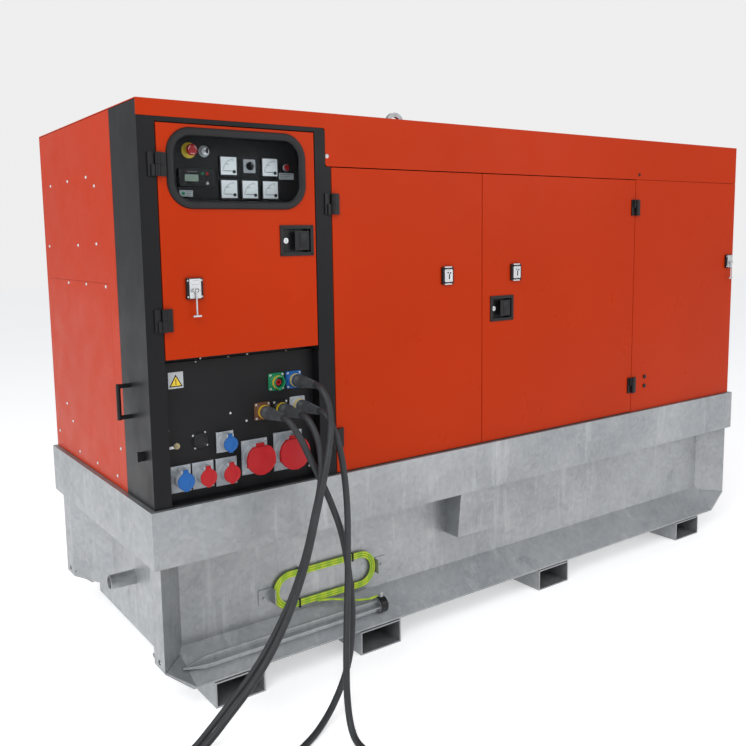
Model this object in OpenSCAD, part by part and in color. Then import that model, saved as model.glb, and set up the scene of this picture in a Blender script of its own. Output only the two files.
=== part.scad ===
// Silenced diesel generating set on a bunded skid base.
// Millimetres, +Z up. The origin is on the floor under the middle of the canopy.
// Modules work from the canopy's front left corner: X along the length, Y from the front, Z up;
// in_frame() then moves them to the origin.

/* [Canopy] */
// Length of the canopy
can_l = 3460; // [3300:10:4200]
// Depth of the canopy, front to back
can_w = 1180; // [1100:10:1450]
// Height of the canopy
can_h = 1380; // [1380:10:1700]
// Thickness of the canopy sheets
sheet_t = 3; // [2:0.5:4]
// Side of the square frame tubes
tube_w = 40; // [30:5:50]
// Wall of the square frame tubes
tube_t = 3; // [2:0.5:4]
// Gap between a door and its neighbours
door_gap = 4; // [3:0.5:6]
// Depth of a door's folded edge
door_fold = 30; // [20:1:36]
// Height of the roof's front face over the service doors
fascia_h = 194; // [150:1:230]
// Height of the roof's front face over the control door
fascia_low_h = 55; // [40:1:70]

/* [Bund base] */
// Height of the canopy's foot above the floor
base_h = 790; // [720:10:900]
// Height of the top band
band_h = 205; // [150:5:240]
// Overhang of the top band past the canopy
band_over = 18; // [10:1:30]
// Thickness of the base plate
plate_t = 5; // [4:0.5:8]
// Setback of the long walls
side_recess = 110; // [80:5:130]
// Setback of the end walls
end_recess = 120; // [80:5:140]
// Width of the flat corner flange on each end
flange_w = 100; // [80:5:120]
// Height of the bottom of the corner legs
leg_z = 195; // [180:5:220]
// Outside width of a fork pocket
pocket_w = 206; // [180:2:230]
// Outside height of a fork pocket
pocket_h = 100; // [80:5:120]
// Wall of a fork pocket
pocket_t = 6; // [4:0.5:8]
// Outside radius of the end pipe stubs
pipe_r = 30; // [25:0.5:35]
// Bore radius of the end pipe stubs
pipe_bore_r = 26; // [20:0.5:28]

/* [Control end] */
// Width of the control section, to the first service door
control_w = 749; // [740:1:800]
// Setback of the socket panel
socket_recess = 45; // [35:1:60]
// Setback of the instrument panel
instr_recess = 90; // [80:1:120]
// Side of a square panel meter
meter_w = 72; // [60:1:72]
// Width of the window seal
window_w = 539; // [480:1:550]
// Height of the window seal
window_h = 272; // [240:1:276]

/* [Hinges] */
// Radius of a hinge pin
pin_r = 4; // [3:0.5:5]
// Radial clearance of a hinge pin
pin_clear = 0.05; // [0.02:0.01:0.1]
// Distance from a door's face to its pin
pin_out = 12; // [11:0.5:15]
// Height of a hinge
hinge_h = 78; // [60:1:90]

/* [Power cables] */
// Diameter of a cable
cable_d = 24; // [20:1:26]
// Number of sides of a cable tube
cable_sides = 8; // [8:1:12]

/* [Hidden] */

// Colours
orange = "orangered";
galvanised = [0.66, 0.69, 0.71];
black = [0.13, 0.13, 0.14];
rubber = [0.09, 0.09, 0.1];
chrome = [0.8, 0.8, 0.82];
cable_grey = [0.24, 0.25, 0.26];

// Seating gap between pieces that touch, and sheet gap
seat = 0.3;
eps = 0.01;

// Canopy levels and seams, from the front left corner
top_z = base_h + can_h;
door_z0 = base_h + 5;
door_z1 = top_z - fascia_h - door_gap;
seam_mid = control_w + 775;
seam_right = seam_mid + 1049;
eye_x = 1506;

// Control section
post_w = 63;
control_x1 = control_w - 73;
control_z0 = base_h + 516;
control_z1 = top_z - fascia_low_h - 18;
cover_d = 261;
window_x = (post_w + control_x1) / 2 - 4;
window_z = control_z1 - window_h / 2 - 11;
seal_w = 28;
seal_r = 90;

// Doors: hinge seams and hinge heights
control_hinge_z = [control_z0 + 135, control_z0 + 653];
service_hinge_z = [base_h + 143, base_h + 1046];
leaf_w = 32;
leaf_t = 6;
knuckle_r = 9;
catch_z = base_h + 755;
catch_h = 72;
catch_out = 14;
control_catch_x = 177;
left_catch_x = 2 * control_w - control_catch_x;
right_catch_x = 1725;
panel_catch_x = 2 * seam_right - right_catch_x - 8;
paddle_w = 142;
paddle_h = 112;
paddle_deep = 24;
control_paddle_x = control_x1 - 13 - paddle_w / 2;
control_paddle_z = control_z0 + 396;
right_paddle_x = seam_mid + 48 + paddle_w / 2;
right_paddle_z = base_h + 598;

// Rear door, seen from the back
rear_x0 = 1330;
rear_x1 = 2380;

// Bund base
corner_in = 10;
end_flare = 230;
lip_rise = side_recess;
lip_z = pocket_h + 5;
wall_foot = lip_z + lip_rise;
flange_in = 60;
pipe_z = 330;
pipe_x0 = 15;
step_w = 210;
step_drop = 210;
step_taper = 22;
pocket_x = [301, 954, can_l - 1453, can_l - 352];

// Socket row: [x, height above canopy foot, flange width, flange height, sleeve radius]
blue_16 = [117, 85, 76, 96, 29];
red_16 = [202, 85, 82, 97, 29];
red_32 = [294, 82, 84, 102, 30];
blue_small = [292, 192, 68, 76, 25];
red_63 = [411, 118, 107, 129, 47];
red_125 = [554, 119, 124, 147, 53];
sockets = [blue_16, red_16, red_32, blue_small, red_63, red_125];
sleeve_l = 45;
socket_deep = 43;
socket_wall = 4;
socket_flange_t = 4;
lid_t = 6;
lid_pin_r = 2.5;
lid_pin_up = 7;
lid_ear_t = 4;

// Single-pole power connectors: [x, height above canopy foot]
conn_n = [587, 388];
conn_pe = [512, 388];
conn_l1 = [449, 284];
conn_l2 = [525, 284];
conn_l3 = [601, 289];
conn_w = 66;
conn_t = 6;
conn_sleeve_r = 24;
conn_bore_r = 19;
conn_out = 26;
plug_end_y = -115;

// Drive line
shaft_y = can_w / 2;
shaft_z = base_h + 400;
alt_x0 = 860;
alt_l = 560;
alt_r = 235;
rotor_r = 160;
shaft_r = 35;
run_gap = 0.05;
bell_l = 150;
engine_x0 = alt_x0 + alt_l + bell_l;
engine_l = 1050;
fan_x = engine_x0 + engine_l + 60;
fan_r = 330;
radiator_x = fan_x + 100;
radiator_t = 90;
rail_y = 230;
rail_z1 = base_h - 10;
mount_h = 60;

// Cable routes, from the front left corner; z is the height above the floor
floor_z = cable_d / 2 + 0.5;
coil_r0 = 144;
coil_w = 2 * cable_d + 1;
coil_c_n = [-60, -433];
coil_c_l2 = [-410, -416];
coil_c_l1 = [291.8, -629];
coil_c_l3 = [663, -905];
route_n = [
    [587, plug_end_y - seat, 1178], [587, -128, 1178], [588, -155, 1167], [592, -180, 1138], [594, -197, 1095], [588, -210, 1040],
    [572, -225, 980], [547, -240, 910], [520, -249, 830], [493, -252, 740], [452, -253, 600],
    [398, -254, 465], [335, -255, 350], [268, -256, 258], [200, -256, 186], [127, -256, 122],
    [62, -255, 66], [0, -253, 26], [-60, -252, 12.5]
];
route_l2 = [
    [525, plug_end_y - seat, 1074], [525, -128, 1074], [528, -150, 1065], [533, -172, 1043], [539, -192, 1005], [545, -205, 950],
    [543, -213, 885], [530, -217, 815], [508, -219, 740], [466, -220, 600], [412, -220, 470],
    [352, -220, 368], [290, -220, 282], [220, -220, 206], [143, -220, 138], [73, -220, 78],
    [12, -220, 32], [-50, -220, 13], [-150, -220, 12.5], [-260, -225, 12.5], [-340, -231, 12.5],
    [-410, -235, 12.5]
];
route_l1 = [
    [449, plug_end_y - seat, 1074], [449, -128, 1074], [453, -150, 1065], [462, -171, 1040], [480, -186, 1000], [505, -188, 945],
    [538, -186, 880], [572, -184, 810], [604, -184, 735], [636, -188, 640], [654, -198, 530],
    [660, -212, 415], [652, -232, 315], [619, -262, 200], [567, -292, 122], [492, -326, 56],
    [410, -362, 18], [330, -402, 12.5], [255, -438, 12.5], [195, -476, 12.5]
];
route_l3 = [
    [601, plug_end_y - seat, 1079], [601, -128, 1079], [604, -150, 1070], [611, -172, 1047], [620, -190, 1008], [632, -199, 950],
    [643, -205, 870], [648, -212, 780], [645, -222, 685], [634, -236, 580], [614, -262, 480],
    [582, -300, 370], [548, -343, 255], [519, -384, 150], [501, -422, 72], [490, -462, 27],
    [484, -510, 12.5], [482, -580, 12.5], [482, -680, 12.5], [482, -780, 12.5],
    [482, -850, 12.5], [482, -905, 12.5]
];

// Frame and helpers
module in_frame() translate([-can_l / 2, -can_w / 2, 0]) children();

module block(x, y, z) translate([x[0], y[0], z[0]]) cube([x[1] - x[0], y[1] - y[0], z[1] - z[0]]);

module rod_x(x, y, z, r) translate([x[0], y, z]) rotate([0, 90, 0]) cylinder(h = x[1] - x[0], r = r, $fn = 48);

module rod_y(x, y, z, r) translate([x, y[0], z]) rotate([-90, 0, 0]) cylinder(h = y[1] - y[0], r = r, $fn = 48);

module rod_z(x, y, z, r) translate([x, y, z[0]]) cylinder(h = z[1] - z[0], r = r, $fn = 48);

// A plate in the XZ plane with y from y[0] to y[1]; its children are drawn in X and Z
module upright(y) translate([0, y[1], 0]) rotate([90, 0, 0]) linear_extrude(height = y[1] - y[0]) children();

// A bar along X; its children are drawn in Y and Z
module along_x(x) translate([x[0], 0, 0]) rotate([90, 0, 90]) linear_extrude(height = x[1] - x[0]) children();

module rounded(w, h, r) {
    square([w - 2 * r, h], center = true);
    square([w, h - 2 * r], center = true);
    for (sx = [-1, 1], sz = [-1, 1])
        translate([sx * (w / 2 - r), sz * (h / 2 - r)]) circle(r = r, $fn = 64);
}

module square_tube(x, y, z, axis) {
    grow = [for (i = [0:2]) i == axis ? -1 : tube_t];
    difference() {
        block(x, y, z);
        block([x[0] + grow[0], x[1] - grow[0]], [y[0] + grow[1], y[1] - grow[1]],
              [z[0] + grow[2], z[1] - grow[2]]);
    }
}

module mirror_back() translate([0, can_w, 0]) mirror([0, 1, 0]) children();

module both_sides() {
    children();
    mirror_back() children();
}

module mirror_end() translate([can_l, 0, 0]) mirror([1, 0, 0]) children();

// ---- Bund base ----

// One corner of the wall's plan, inset by t
function flare_shift(t) = let (
        run = end_recess - corner_in,
        len = norm([run, end_flare]))
    -run / len * t + (t - end_flare / len * t) * end_flare / run;

function corner_plan(t) = [
    [end_recess + t, flange_w + end_flare + flare_shift(t)],
    [corner_in + t, flange_w + flare_shift(t)],
    [corner_in + t, t * (1 + sqrt(2))],
    [corner_in + side_recess + t * (1 - sqrt(2)), side_recess + t]
];

function reversed(list) = [for (i = [len(list) - 1:-1:0]) list[i]];

function wall_plan(t) = let (c = corner_plan(t)) concat(
    c,
    reversed([for (p = c) [can_l - p[0], p[1]]]),
    [for (p = c) [can_l - p[0], can_w - p[1]]],
    reversed([for (p = c) [p[0], can_w - p[1]]])
);

module base_walls() translate([0, 0, leg_z]) linear_extrude(height = base_h - plate_t - leg_z)
    difference() {
        polygon(wall_plan(0));
        polygon(wall_plan(plate_t));
    }

module base_tub() difference() {
    block([end_recess, can_l - end_recess], [side_recess, can_w - side_recess],
          [pocket_h, wall_foot + plate_t]);
    block([end_recess + plate_t, can_l - end_recess - plate_t],
          [side_recess + plate_t, can_w - side_recess - plate_t],
          [pocket_h + plate_t, wall_foot + 2 * plate_t]);
}

module base_band() difference() {
    block([-band_over, can_l + band_over], [-band_over, can_w + band_over], [base_h - band_h, base_h]);
    block([plate_t - band_over, can_l + band_over - plate_t],
          [plate_t - band_over, can_w + band_over - plate_t],
          [base_h - band_h - 1, base_h - plate_t]);
    block([flange_in, can_l - flange_in], [flange_in, can_w - flange_in], [base_h - band_h, base_h + 1]);
}

// The sloping bottom lip of a long side, with chamfered ends
module base_lip() intersection() {
    along_x([0, can_l]) polygon([
        [0, lip_z], [side_recess + plate_t, wall_foot + plate_t],
        [side_recess + plate_t, wall_foot + 2.4 * plate_t], [0, lip_z + 1.4 * plate_t]
    ]);
    upright([-1, side_recess + 2 * plate_t]) polygon([
        [corner_in + lip_rise, lip_z - 1], [can_l - corner_in - lip_rise, lip_z - 1],
        [can_l - corner_in, wall_foot], [can_l - corner_in, wall_foot + 40],
        [corner_in, wall_foot + 40], [corner_in, wall_foot]
    ]);
}

module step_profile(t) polygon([
    [t, base_h - band_h + eps], [side_recess + 1, base_h - band_h + eps],
    [side_recess + 1, base_h - band_h - step_drop - t], [step_taper + t, base_h - band_h - step_drop - t]
]);

// Folded facet that joins the foot of a corner leg to the end of the lip
module base_facet() hull() {
    block([corner_in, corner_in + plate_t], [0, plate_t], [leg_z, leg_z + plate_t]);
    block([corner_in + lip_rise - 5, corner_in + lip_rise + plate_t], [0, plate_t], [lip_z, lip_z + 7]);
    block([end_recess - 25, end_recess - 15], [side_recess - 22, side_recess - 15], [leg_z, leg_z + 7]);
}
module base_step() difference() {
    along_x([eye_x - step_w / 2, eye_x + step_w / 2]) step_profile(0);
    along_x([eye_x - step_w / 2 + plate_t, eye_x + step_w / 2 - plate_t]) step_profile(plate_t);
}

module base() color(galvanised) in_frame() difference() {
    union() {
        base_walls();
        base_tub();
        base_band();
        both_sides() {
            base_lip();
            base_step();
            base_facet();
            mirror_end() base_facet();
        }
        rod_x([pipe_x0, end_recess + 1], can_w / 2, pipe_z, pipe_r);
        rod_x([can_l - end_recess - 1, can_l - pipe_x0], can_w / 2, pipe_z, pipe_r);
        for (x = [520, 1400, 2300, 2940])
            square_tube([x, x + 60], [side_recess + 1, can_w - side_recess - 1],
                        [rail_z1 - 140, rail_z1 - 80], 1);
    }
    rod_x([0, end_recess + plate_t + 1], can_w / 2, pipe_z, pipe_bore_r);
    rod_x([can_l - end_recess - plate_t - 1, can_l], can_w / 2, pipe_z, pipe_bore_r);
    for (x = [-1, can_l - 20], y = [flange_w / 2, can_w - flange_w / 2])
        rod_x([x, x + 40], y, leg_z + 25, 11);
}

module fork_pockets() color(galvanised) in_frame() for (x = pocket_x) difference() {
    block([x - pocket_w / 2, x + pocket_w / 2], [0, can_w], [0, pocket_h]);
    block([x - pocket_w / 2 + pocket_t, x + pocket_w / 2 - pocket_t], [-1, can_w + 1],
          [pocket_t, pocket_h - pocket_t]);
}

module fuel_tank() color([0.3, 0.32, 0.34]) in_frame() {
    x = [640, can_l - 700];
    y = [side_recess + 60, can_w - side_recess - 60];
    z = [pocket_h + plate_t, rail_z1 - 250];
    difference() {
        block(x, y, z);
        block([x[0] + 3, x[1] - 3], [y[0] + 3, y[1] - 3], [z[0] + 3, z[1] - 3]);
    }
    rod_z(x[0] + 180, can_w / 2, [z[1], z[1] + 60], 55);
    rod_z(x[0] + 180, can_w / 2, [z[1] + 60, z[1] + 80], 62);
}

// ---- Earth lead and stake ----
stake_y = 35;
stake_arm = 25;
stake_t = 5;
stake_z = lip_z + 1.4 * plate_t + stake_y + stake_arm + stake_t / 2 + seat * 1.5;
stake_x = [90, 1010];
lead_d = 9;
lead_x = [580, 920];
lead_z = 322;
lead_y = side_recess - 12;
lead_loops = [55, 64.4, 73.8];
lead_end = lead_loops[2] + lead_d / 2 + seat;

module stake_cross(grow) {
    square([2 * stake_arm + 2 * grow, stake_t + 2 * grow], center = true);
    square([stake_t + 2 * grow, 2 * stake_arm + 2 * grow], center = true);
}

module earth_stake_set() in_frame() {
    color(galvanised) intersection() {
        along_x(stake_x) translate([stake_y, stake_z]) stake_cross(0);
        translate([stake_x[0], stake_y, stake_z]) rotate([0, 90, 0])
            cylinder(h = 150, r1 = 3, r2 = 40, $fn = 48);
    }
    color(galvanised) along_x([stake_x[0] + 100, stake_x[1]])
        translate([stake_y, stake_z]) stake_cross(0);
    // Clamp that holds the stake's head on the lip
    color(black) difference() {
        union() {
            rod_x([stake_x[1] - 48, stake_x[1] - 14], stake_y, stake_z, stake_arm + 7);
            rod_z(stake_x[1] - 31, stake_y, [stake_z + stake_arm, stake_z + stake_arm + 26], 9);
        }
        along_x([stake_x[1] - 60, stake_x[1]]) translate([stake_y, stake_z]) stake_cross(seat);
        along_x([stake_x[1] - 60, stake_x[1]]) polygon([
            [-40, lip_z + 1.4 * plate_t - 40 + 1.5 * seat], [side_recess, wall_foot + 1.4 * plate_t + 1.5 * seat],
            [side_recess, 0], [-40, 0]
        ]);
    }
    // Ears that carry the coiled lead, each with its screw
    for (s = [0, 1]) translate([s ? lead_x[1] + lead_end : lead_x[0] - lead_end, 0, 0]) mirror([1 - s, 0, 0]) {
        color(galvanised) block([0, 60], [side_recess - 4, side_recess], [lead_z - 32, lead_z + 28]);
        color(galvanised) block([0, 4], [side_recess - 36, side_recess - 4], [lead_z - 32, lead_z + 28]);
        color(chrome) rod_y(36, [side_recess - 9, side_recess - 4], lead_z - 8, 6);
    }
    for (x = [lead_x[0] + 40, lead_x[1] - 40], s = [-1, 1])
        color(black) translate([x, lead_y, lead_z + s * lead_loops[1]]) difference() {
            cube([6, lead_d + 5, 35], center = true);
            cube([7, lead_d + 2 * seat, 3 * lead_d + 0.8 + 2 * seat], center = true);
        }
}

module lead_loop(r) {
    translate([lead_x[1], lead_y, lead_z]) rotate([90, 0, 0]) rotate([0, 0, -90])
        rotate_extrude(angle = 180, $fn = 64) translate([r, 0]) circle(d = lead_d, $fn = 24);
    translate([lead_x[0], lead_y, lead_z]) rotate([90, 0, 0]) rotate([0, 0, 90])
        rotate_extrude(angle = 180, $fn = 64) translate([r, 0]) circle(d = lead_d, $fn = 24);
    for (s = [-1, 1]) rod_x(lead_x, lead_y, lead_z + s * r, lead_d / 2);
}

lead_tail = [
    [700, lead_y - 9.4, lead_z - 74], [760, lead_y - 15, lead_z - 82], [820, lead_y - 26, lead_z - 96],
    [880, lead_y - 40, lead_z - 110], [930, lead_y - 51, lead_z - 114], [966, lead_y - 57, lead_z - 109]
];

module earth_lead() color([0.62, 0.8, 0.1]) in_frame() {
    for (r = lead_loops) lead_loop(r);
    tube(lead_tail, lead_d, 8);
}

// ---- Cable tubes ----
function unit(v) = v / norm(v);

function tangent(p, i) = unit(p[min(i + 1, len(p) - 1)] - p[max(i - 1, 0)]);

// Carries the ring's side direction along the route without twist
function side_dir(p, i) = i == 0
    ? unit(cross(tangent(p, 0), abs(tangent(p, 0)[2]) < 0.9 ? [0, 0, 1] : [1, 0, 0]))
    : let (s = side_dir(p, i - 1), t = tangent(p, i)) unit(s - t * (s * t));

module tube(p, d, sides) {
    n = len(p);
    rings = [for (i = [0:n - 1]) let (t = tangent(p, i), s = side_dir(p, i), u = cross(t, s))
        for (k = [0:sides - 1]) let (a = 360 * (k + 0.5) / sides)
            p[i] + d / 2 * (cos(a) * s + sin(a) * u)];
    polyhedron(points = rings, faces = concat(
        [[for (k = [0:sides - 1]) k]],
        [[for (k = [0:sides - 1]) (n - 1) * sides + sides - 1 - k]],
        [for (i = [0:n - 2], k = [0:sides - 1]) let (q = (k + 1) % sides)
            [i * sides + k, (i + 1) * sides + k, (i + 1) * sides + q]],
        [for (i = [0:n - 2], k = [0:sides - 1]) let (q = (k + 1) % sides)
            [i * sides + k, (i + 1) * sides + q, i * sides + q]]
    ));
}

module cable(route) color(cable_grey) in_frame() tube(route, cable_d, cable_sides);

module coil(c) color(cable_grey) in_frame() translate([c[0], c[1], 0.5])
    rotate_extrude($fn = 96) translate([coil_r0 - coil_w / 2, 0]) square([coil_w, cable_d]);

module cable_n() cable(route_n);
module cable_l1() cable(route_l1);
module cable_l2() cable(route_l2);
module cable_l3() cable(route_l3);
module coil_n() coil(coil_c_n);
module coil_l1() coil(coil_c_l1);
module coil_l2() coil(coil_c_l2);
module coil_l3() coil(coil_c_l3);

module plug_body(c) {
    z = base_h + c[1];
    face = socket_recess - conn_t - conn_out;
    rod_y(c[0], [face - seat, face + conn_out - 4], z, conn_bore_r - seat);
    rod_y(c[0], [-40, face - seat], z, conn_sleeve_r);
    rod_y(c[0], [plug_end_y, -40], z, 20);
}

// A crimped lug lying flat inside its coil, after the end of the inner turn
lug_r = 13;
lug_half = 40;
lug_y = lug_r - sqrt(pow(coil_r0 - coil_w / 2 - seat, 2) - pow(lug_half, 2));
module lug(c, start) translate([c[0], c[1], 0]) rotate(start - 10 - atan2(lug_y, -lug_half)) {
    rod_x([-lug_half, 5], lug_y, lug_r + 0.5, lug_r);
    difference() {
        block([4, lug_half], [lug_y - lug_r, lug_y + lug_r], [0.5, 6.5]);
        rod_z(25, lug_y, [0, 8], 6.5);
    }
}

module cable_ends() in_frame() {
    color(black) for (c = [conn_n, conn_l1, conn_l2, conn_l3]) plug_body(c);
    color(chrome) {
        lug(coil_c_n, 90);
        lug(coil_c_l2, 90);
        lug(coil_c_l1, 122.3);
        lug(coil_c_l3, 180);
    }
}

// ---- Canopy ----
in_t = sheet_t + seat;
frame_y = door_fold + 3;

module frame_post(x, y) square_tube([x, x + tube_w], [y, y + tube_w],
                                    [base_h + tube_w, top_z - sheet_t - tube_w], 2);

module canopy_frame() color(black) in_frame() {
    far_x = can_l - in_t;
    far_y = can_w - frame_y;
    roof_in = top_z - sheet_t;
    control_post_x = control_w - 12 - tube_w;
    socket_rail_y = socket_recess + sheet_t + seat;
    for (y = [frame_y, far_y - tube_w])
        square_tube([in_t, far_x], [y, y + tube_w], [roof_in - tube_w, roof_in], 0);
    square_tube([in_t, far_x], [far_y - tube_w, far_y], [base_h, base_h + tube_w], 0);
    square_tube([control_post_x, far_x], [frame_y, frame_y + tube_w], [base_h, base_h + tube_w], 0);
    square_tube([in_t + tube_w, control_post_x], [socket_rail_y, socket_rail_y + tube_w],
                [base_h, base_h + tube_w], 0);
    for (x = [in_t, far_x - tube_w], z = [base_h, roof_in - tube_w])
        square_tube([x, x + tube_w], [frame_y + (x == in_t && z == base_h ? 0 : tube_w), far_y - tube_w],
                    [z, z + tube_w], 1);
    for (x = [in_t, far_x - tube_w, seam_right + 6], y = [frame_y, far_y - tube_w]) frame_post(x, y);
    frame_post(control_post_x, frame_y);
    for (x = [rear_x0 - 6 - tube_w, rear_x1 + 6]) frame_post(x, far_y - tube_w);
    // Cross beams under the roof carry the lifting eye
    for (x = [eye_x - 130, eye_x + 90])
        square_tube([x, x + tube_w], [frame_y + tube_w, far_y - tube_w], [roof_in - tube_w, roof_in], 1);
    // Middle rails of the two ends
    for (x = [in_t, far_x - tube_w])
        square_tube([x, x + tube_w], [frame_y + tube_w, far_y - tube_w], [base_h + 745, base_h + 745 + tube_w], 1);
    // Bulkhead between control section and engine bay
    block([control_post_x, control_post_x + 4], [frame_y + tube_w, far_y - tube_w], [base_h, roof_in]);
}

// Outline of the roof's front face, stepping up over the control door
module front_fascia() {
    step_x = control_w - 4;
    r = 10;
    polygon([
        [0, top_z - sheet_t], [0, top_z - fascia_low_h],
        for (a = [90:-15:0]) [step_x - 3 * r + r * cos(a), top_z - fascia_low_h - r + r * sin(a)],
        for (a = [180:15:270]) [step_x - r + r * cos(a), top_z - fascia_h + r + r * sin(a)],
        [can_l, top_z - fascia_h], [can_l, top_z - sheet_t]
    ]);
}

grille_x = [2700, 3340];
grille_y = [250, can_w - 250];
exhaust_x = 2480;
exhaust_r = 52;

module roof() color(orange) in_frame() {
    difference() {
        union() {
            block([0, can_l], [0, can_w], [top_z - sheet_t, top_z]);
            upright([0, sheet_t]) front_fascia();
            block([0, can_l], [can_w - sheet_t, can_w], [top_z - fascia_h, top_z - sheet_t]);
        }
        block(grille_x, grille_y, [top_z - 10, top_z + 1]);
        rod_z(exhaust_x, can_w / 2, [top_z - 10, top_z + 1], exhaust_r + 6);
        rod_z(eye_x, can_w / 2, [top_z - 10, top_z + 1], 26);
    }
    // Air outlet bars
    for (y = [grille_y[0]:40:grille_y[1] - 20])
        block([grille_x[0] - 20, grille_x[1] + 20], [y, y + 4], [top_z - sheet_t - seat - 24, top_z - sheet_t - seat]);
    for (x = [grille_x[0] - 24, grille_x[1] + 20])
        block([x, x + 4], [grille_y[0] - 10, grille_y[1] + 10],
              [top_z - sheet_t - seat - 30, top_z - sheet_t - seat]);
}

module lifting_eye() color(galvanised) in_frame() {
    y = can_w / 2;
    beam_z = top_z - sheet_t - tube_w;
    difference() {
        union() {
            rod_y(eye_x, [y - 10, y + 10], top_z + 82, 50);
            block([eye_x - 20, eye_x + 20], [y - 10, y + 10], [beam_z, top_z + 60]);
        }
        rod_y(eye_x, [y - 11, y + 11], top_z + 82, 30);
    }
    block([eye_x - 130 + tube_w, eye_x - 20], [y - 30, y + 30], [beam_z, beam_z + 12]);
    block([eye_x + 20, eye_x + 90], [y - 30, y + 30], [beam_z, beam_z + 12]);
}

panel_z = [base_h + 2, top_z - fascia_h - door_gap / 2];

// A fixed panel with edges folded back to the frame
module fixed_panel(x) {
    inner = [max(x[0], in_t), min(x[1], can_l - in_t)];
    back = frame_y - seat;
    block(x, [0, sheet_t], panel_z);
    for (e = [inner[0], inner[1] - 2]) block([e, e + 2], [sheet_t - eps, back], panel_z);
    for (e = [panel_z[0], panel_z[1] - 2]) block(inner, [sheet_t - eps, back], [e, e + 2]);
}

module front_panel() color(orange) in_frame() fixed_panel([seam_right + door_gap / 2, can_l]);

louvre_x = [130, 1180];
louvre_z = [base_h + 230, base_h + 1010];

module rear_panels() color(orange) in_frame() {
    difference() {
        mirror_back() fixed_panel([0, rear_x0 - door_gap]);
        block(louvre_x, [can_w - 10, can_w + 1], louvre_z);
    }
    mirror_back() fixed_panel([rear_x1 + door_gap, can_l]);
    // Fixed louvre blades of the air inlet
    intersection() {
        for (z = [louvre_z[0] - 10:65:louvre_z[1]])
            translate([0, can_w - sheet_t - seat - 30, z]) rotate([35, 0, 0])
                cube([can_l, 50, 3]);
        block([louvre_x[0] - 15, louvre_x[1] + 15], [can_w - 60, can_w - sheet_t - seat],
              [louvre_z[0] - 15, louvre_z[1] + 15]);
    }
    for (x = [louvre_x[0] - 19, louvre_x[1] + 15])
        block([x, x + 4], [can_w - 42, can_w - sheet_t - seat], [louvre_z[0] - 20, louvre_z[1] + 20]);
}

access_y = [341, can_w - 50];
access_z = 767;

module left_end_panel() color(orange) in_frame() {
    z = [base_h + 2, top_z - sheet_t - 2];
    difference() {
        block([0, sheet_t], [cover_d + 1, can_w - sheet_t - 1], z);
        block([-1, sheet_t + 1], [access_y[0], access_y[1]], [base_h + 6, base_h + access_z]);
    }
    block([0, sheet_t], [access_y[0] + 1, access_y[1] - 1], [base_h + 7, base_h + access_z - 1]);
}

module right_end_panel() color(orange) in_frame()
    block([can_l - sheet_t, can_l], [sheet_t + 1, can_w - sheet_t - 1], [base_h + 2, top_z - sheet_t - 2]);

// Black corner cover, posts and headers around the control door and the socket panel
module control_surround() color(black) in_frame() {
    z1 = top_z - fascia_low_h - 1;
    // Corner cover: end face and left post in one fold
    block([0, sheet_t], [sheet_t, cover_d], [base_h + 2, top_z - sheet_t - 2]);
    block([0, post_w - 2], [0, sheet_t], [base_h + 2, z1]);
    // Right post with its return to the frame
    upright([0, sheet_t]) polygon([
        [control_x1 + 2, base_h + 2], [control_w - door_gap / 2, base_h + 2],
        [control_w - door_gap / 2, top_z - fascia_h - 2], [control_w - 25, top_z - fascia_h - 2],
        [control_w - 25, z1 - 10], [control_w - 35, z1], [control_x1 + 2, z1]
    ]);
    block([control_w - 40, control_w - 37], [sheet_t - eps, frame_y - seat], [base_h + 2, top_z - fascia_h - 2]);
    // Header over the door and divider under it
    block([post_w - 2, control_x1 + 2], [0, sheet_t], [control_z1 + door_gap / 2, z1]);
    block([post_w - 2, control_x1 + 2], [door_fold + 6, socket_recess + 12], [control_z0 - 20, control_z0 - 16]);
    // Sides, sill and back lip of the socket recess
    block([post_w - 2, post_w + 1], [0, socket_recess - seat], [base_h + 2, control_z0 - 20]);
    block([control_x1 - 1, control_x1 + 2], [0, socket_recess - seat], [base_h + 2, control_z0 - 20]);
    block([post_w + 1, control_x1 - 1], [0, socket_recess - seat], [base_h + 2, base_h + 6]);
}

// Pan-head screws: [depth from the front, height above the canopy's foot]
end_screws = [
    [456, 1125], [549, 1163], [792, 1163], [1040, 1159],
    [465, 912], [694, 908], [1111, 905], [384, 763 - 8], [617, 765 - 8], [854, 763 - 8],
    [311, 159], [364, 44], [601, 42], [834, 42], [1124, 80], [909, 160], [986, 226]
];
front_screws = [[control_w - 17, top_z - 157], [seam_right + 27, top_z - fascia_h + 24]];

module panel_screws() color(chrome) in_frame() {
    for (p = end_screws) {
        rod_x([-4, 0], p[0], base_h + p[1], 6.5);
        rod_x([can_l, can_l + 4], p[0], base_h + p[1], 6.5);
    }
    for (p = front_screws) rod_y(p[0], [-4, 0], p[1], 8);
}

// ---- Hinges, catches and latches ----

// A hinge seen from the front at its seam; side is +1 where the door lies to +X.
// The fixed leaf carries the pin in the lower knuckle.
module fixed_hinge(x, z, side) translate([x, 0, z]) {
    block(side > 0 ? [-leaf_w, -knuckle_r - 1] : [knuckle_r + 1, leaf_w], [-leaf_t, 0],
          [-hinge_h / 2, hinge_h / 2]);
    rod_z(0, -pin_out, [-hinge_h / 2, -1], knuckle_r);
    block(side > 0 ? [-leaf_w + 10, 0] : [0, leaf_w - 10], [-pin_out, -3], [-hinge_h / 2, -1]);
    block(side > 0 ? [-knuckle_r - 4, 0] : [0, knuckle_r + 4], [-4, 0], [-hinge_h / 2, -1]);
    rod_z(0, -pin_out, [-2, hinge_h / 2 - 4], pin_r);
}

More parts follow.
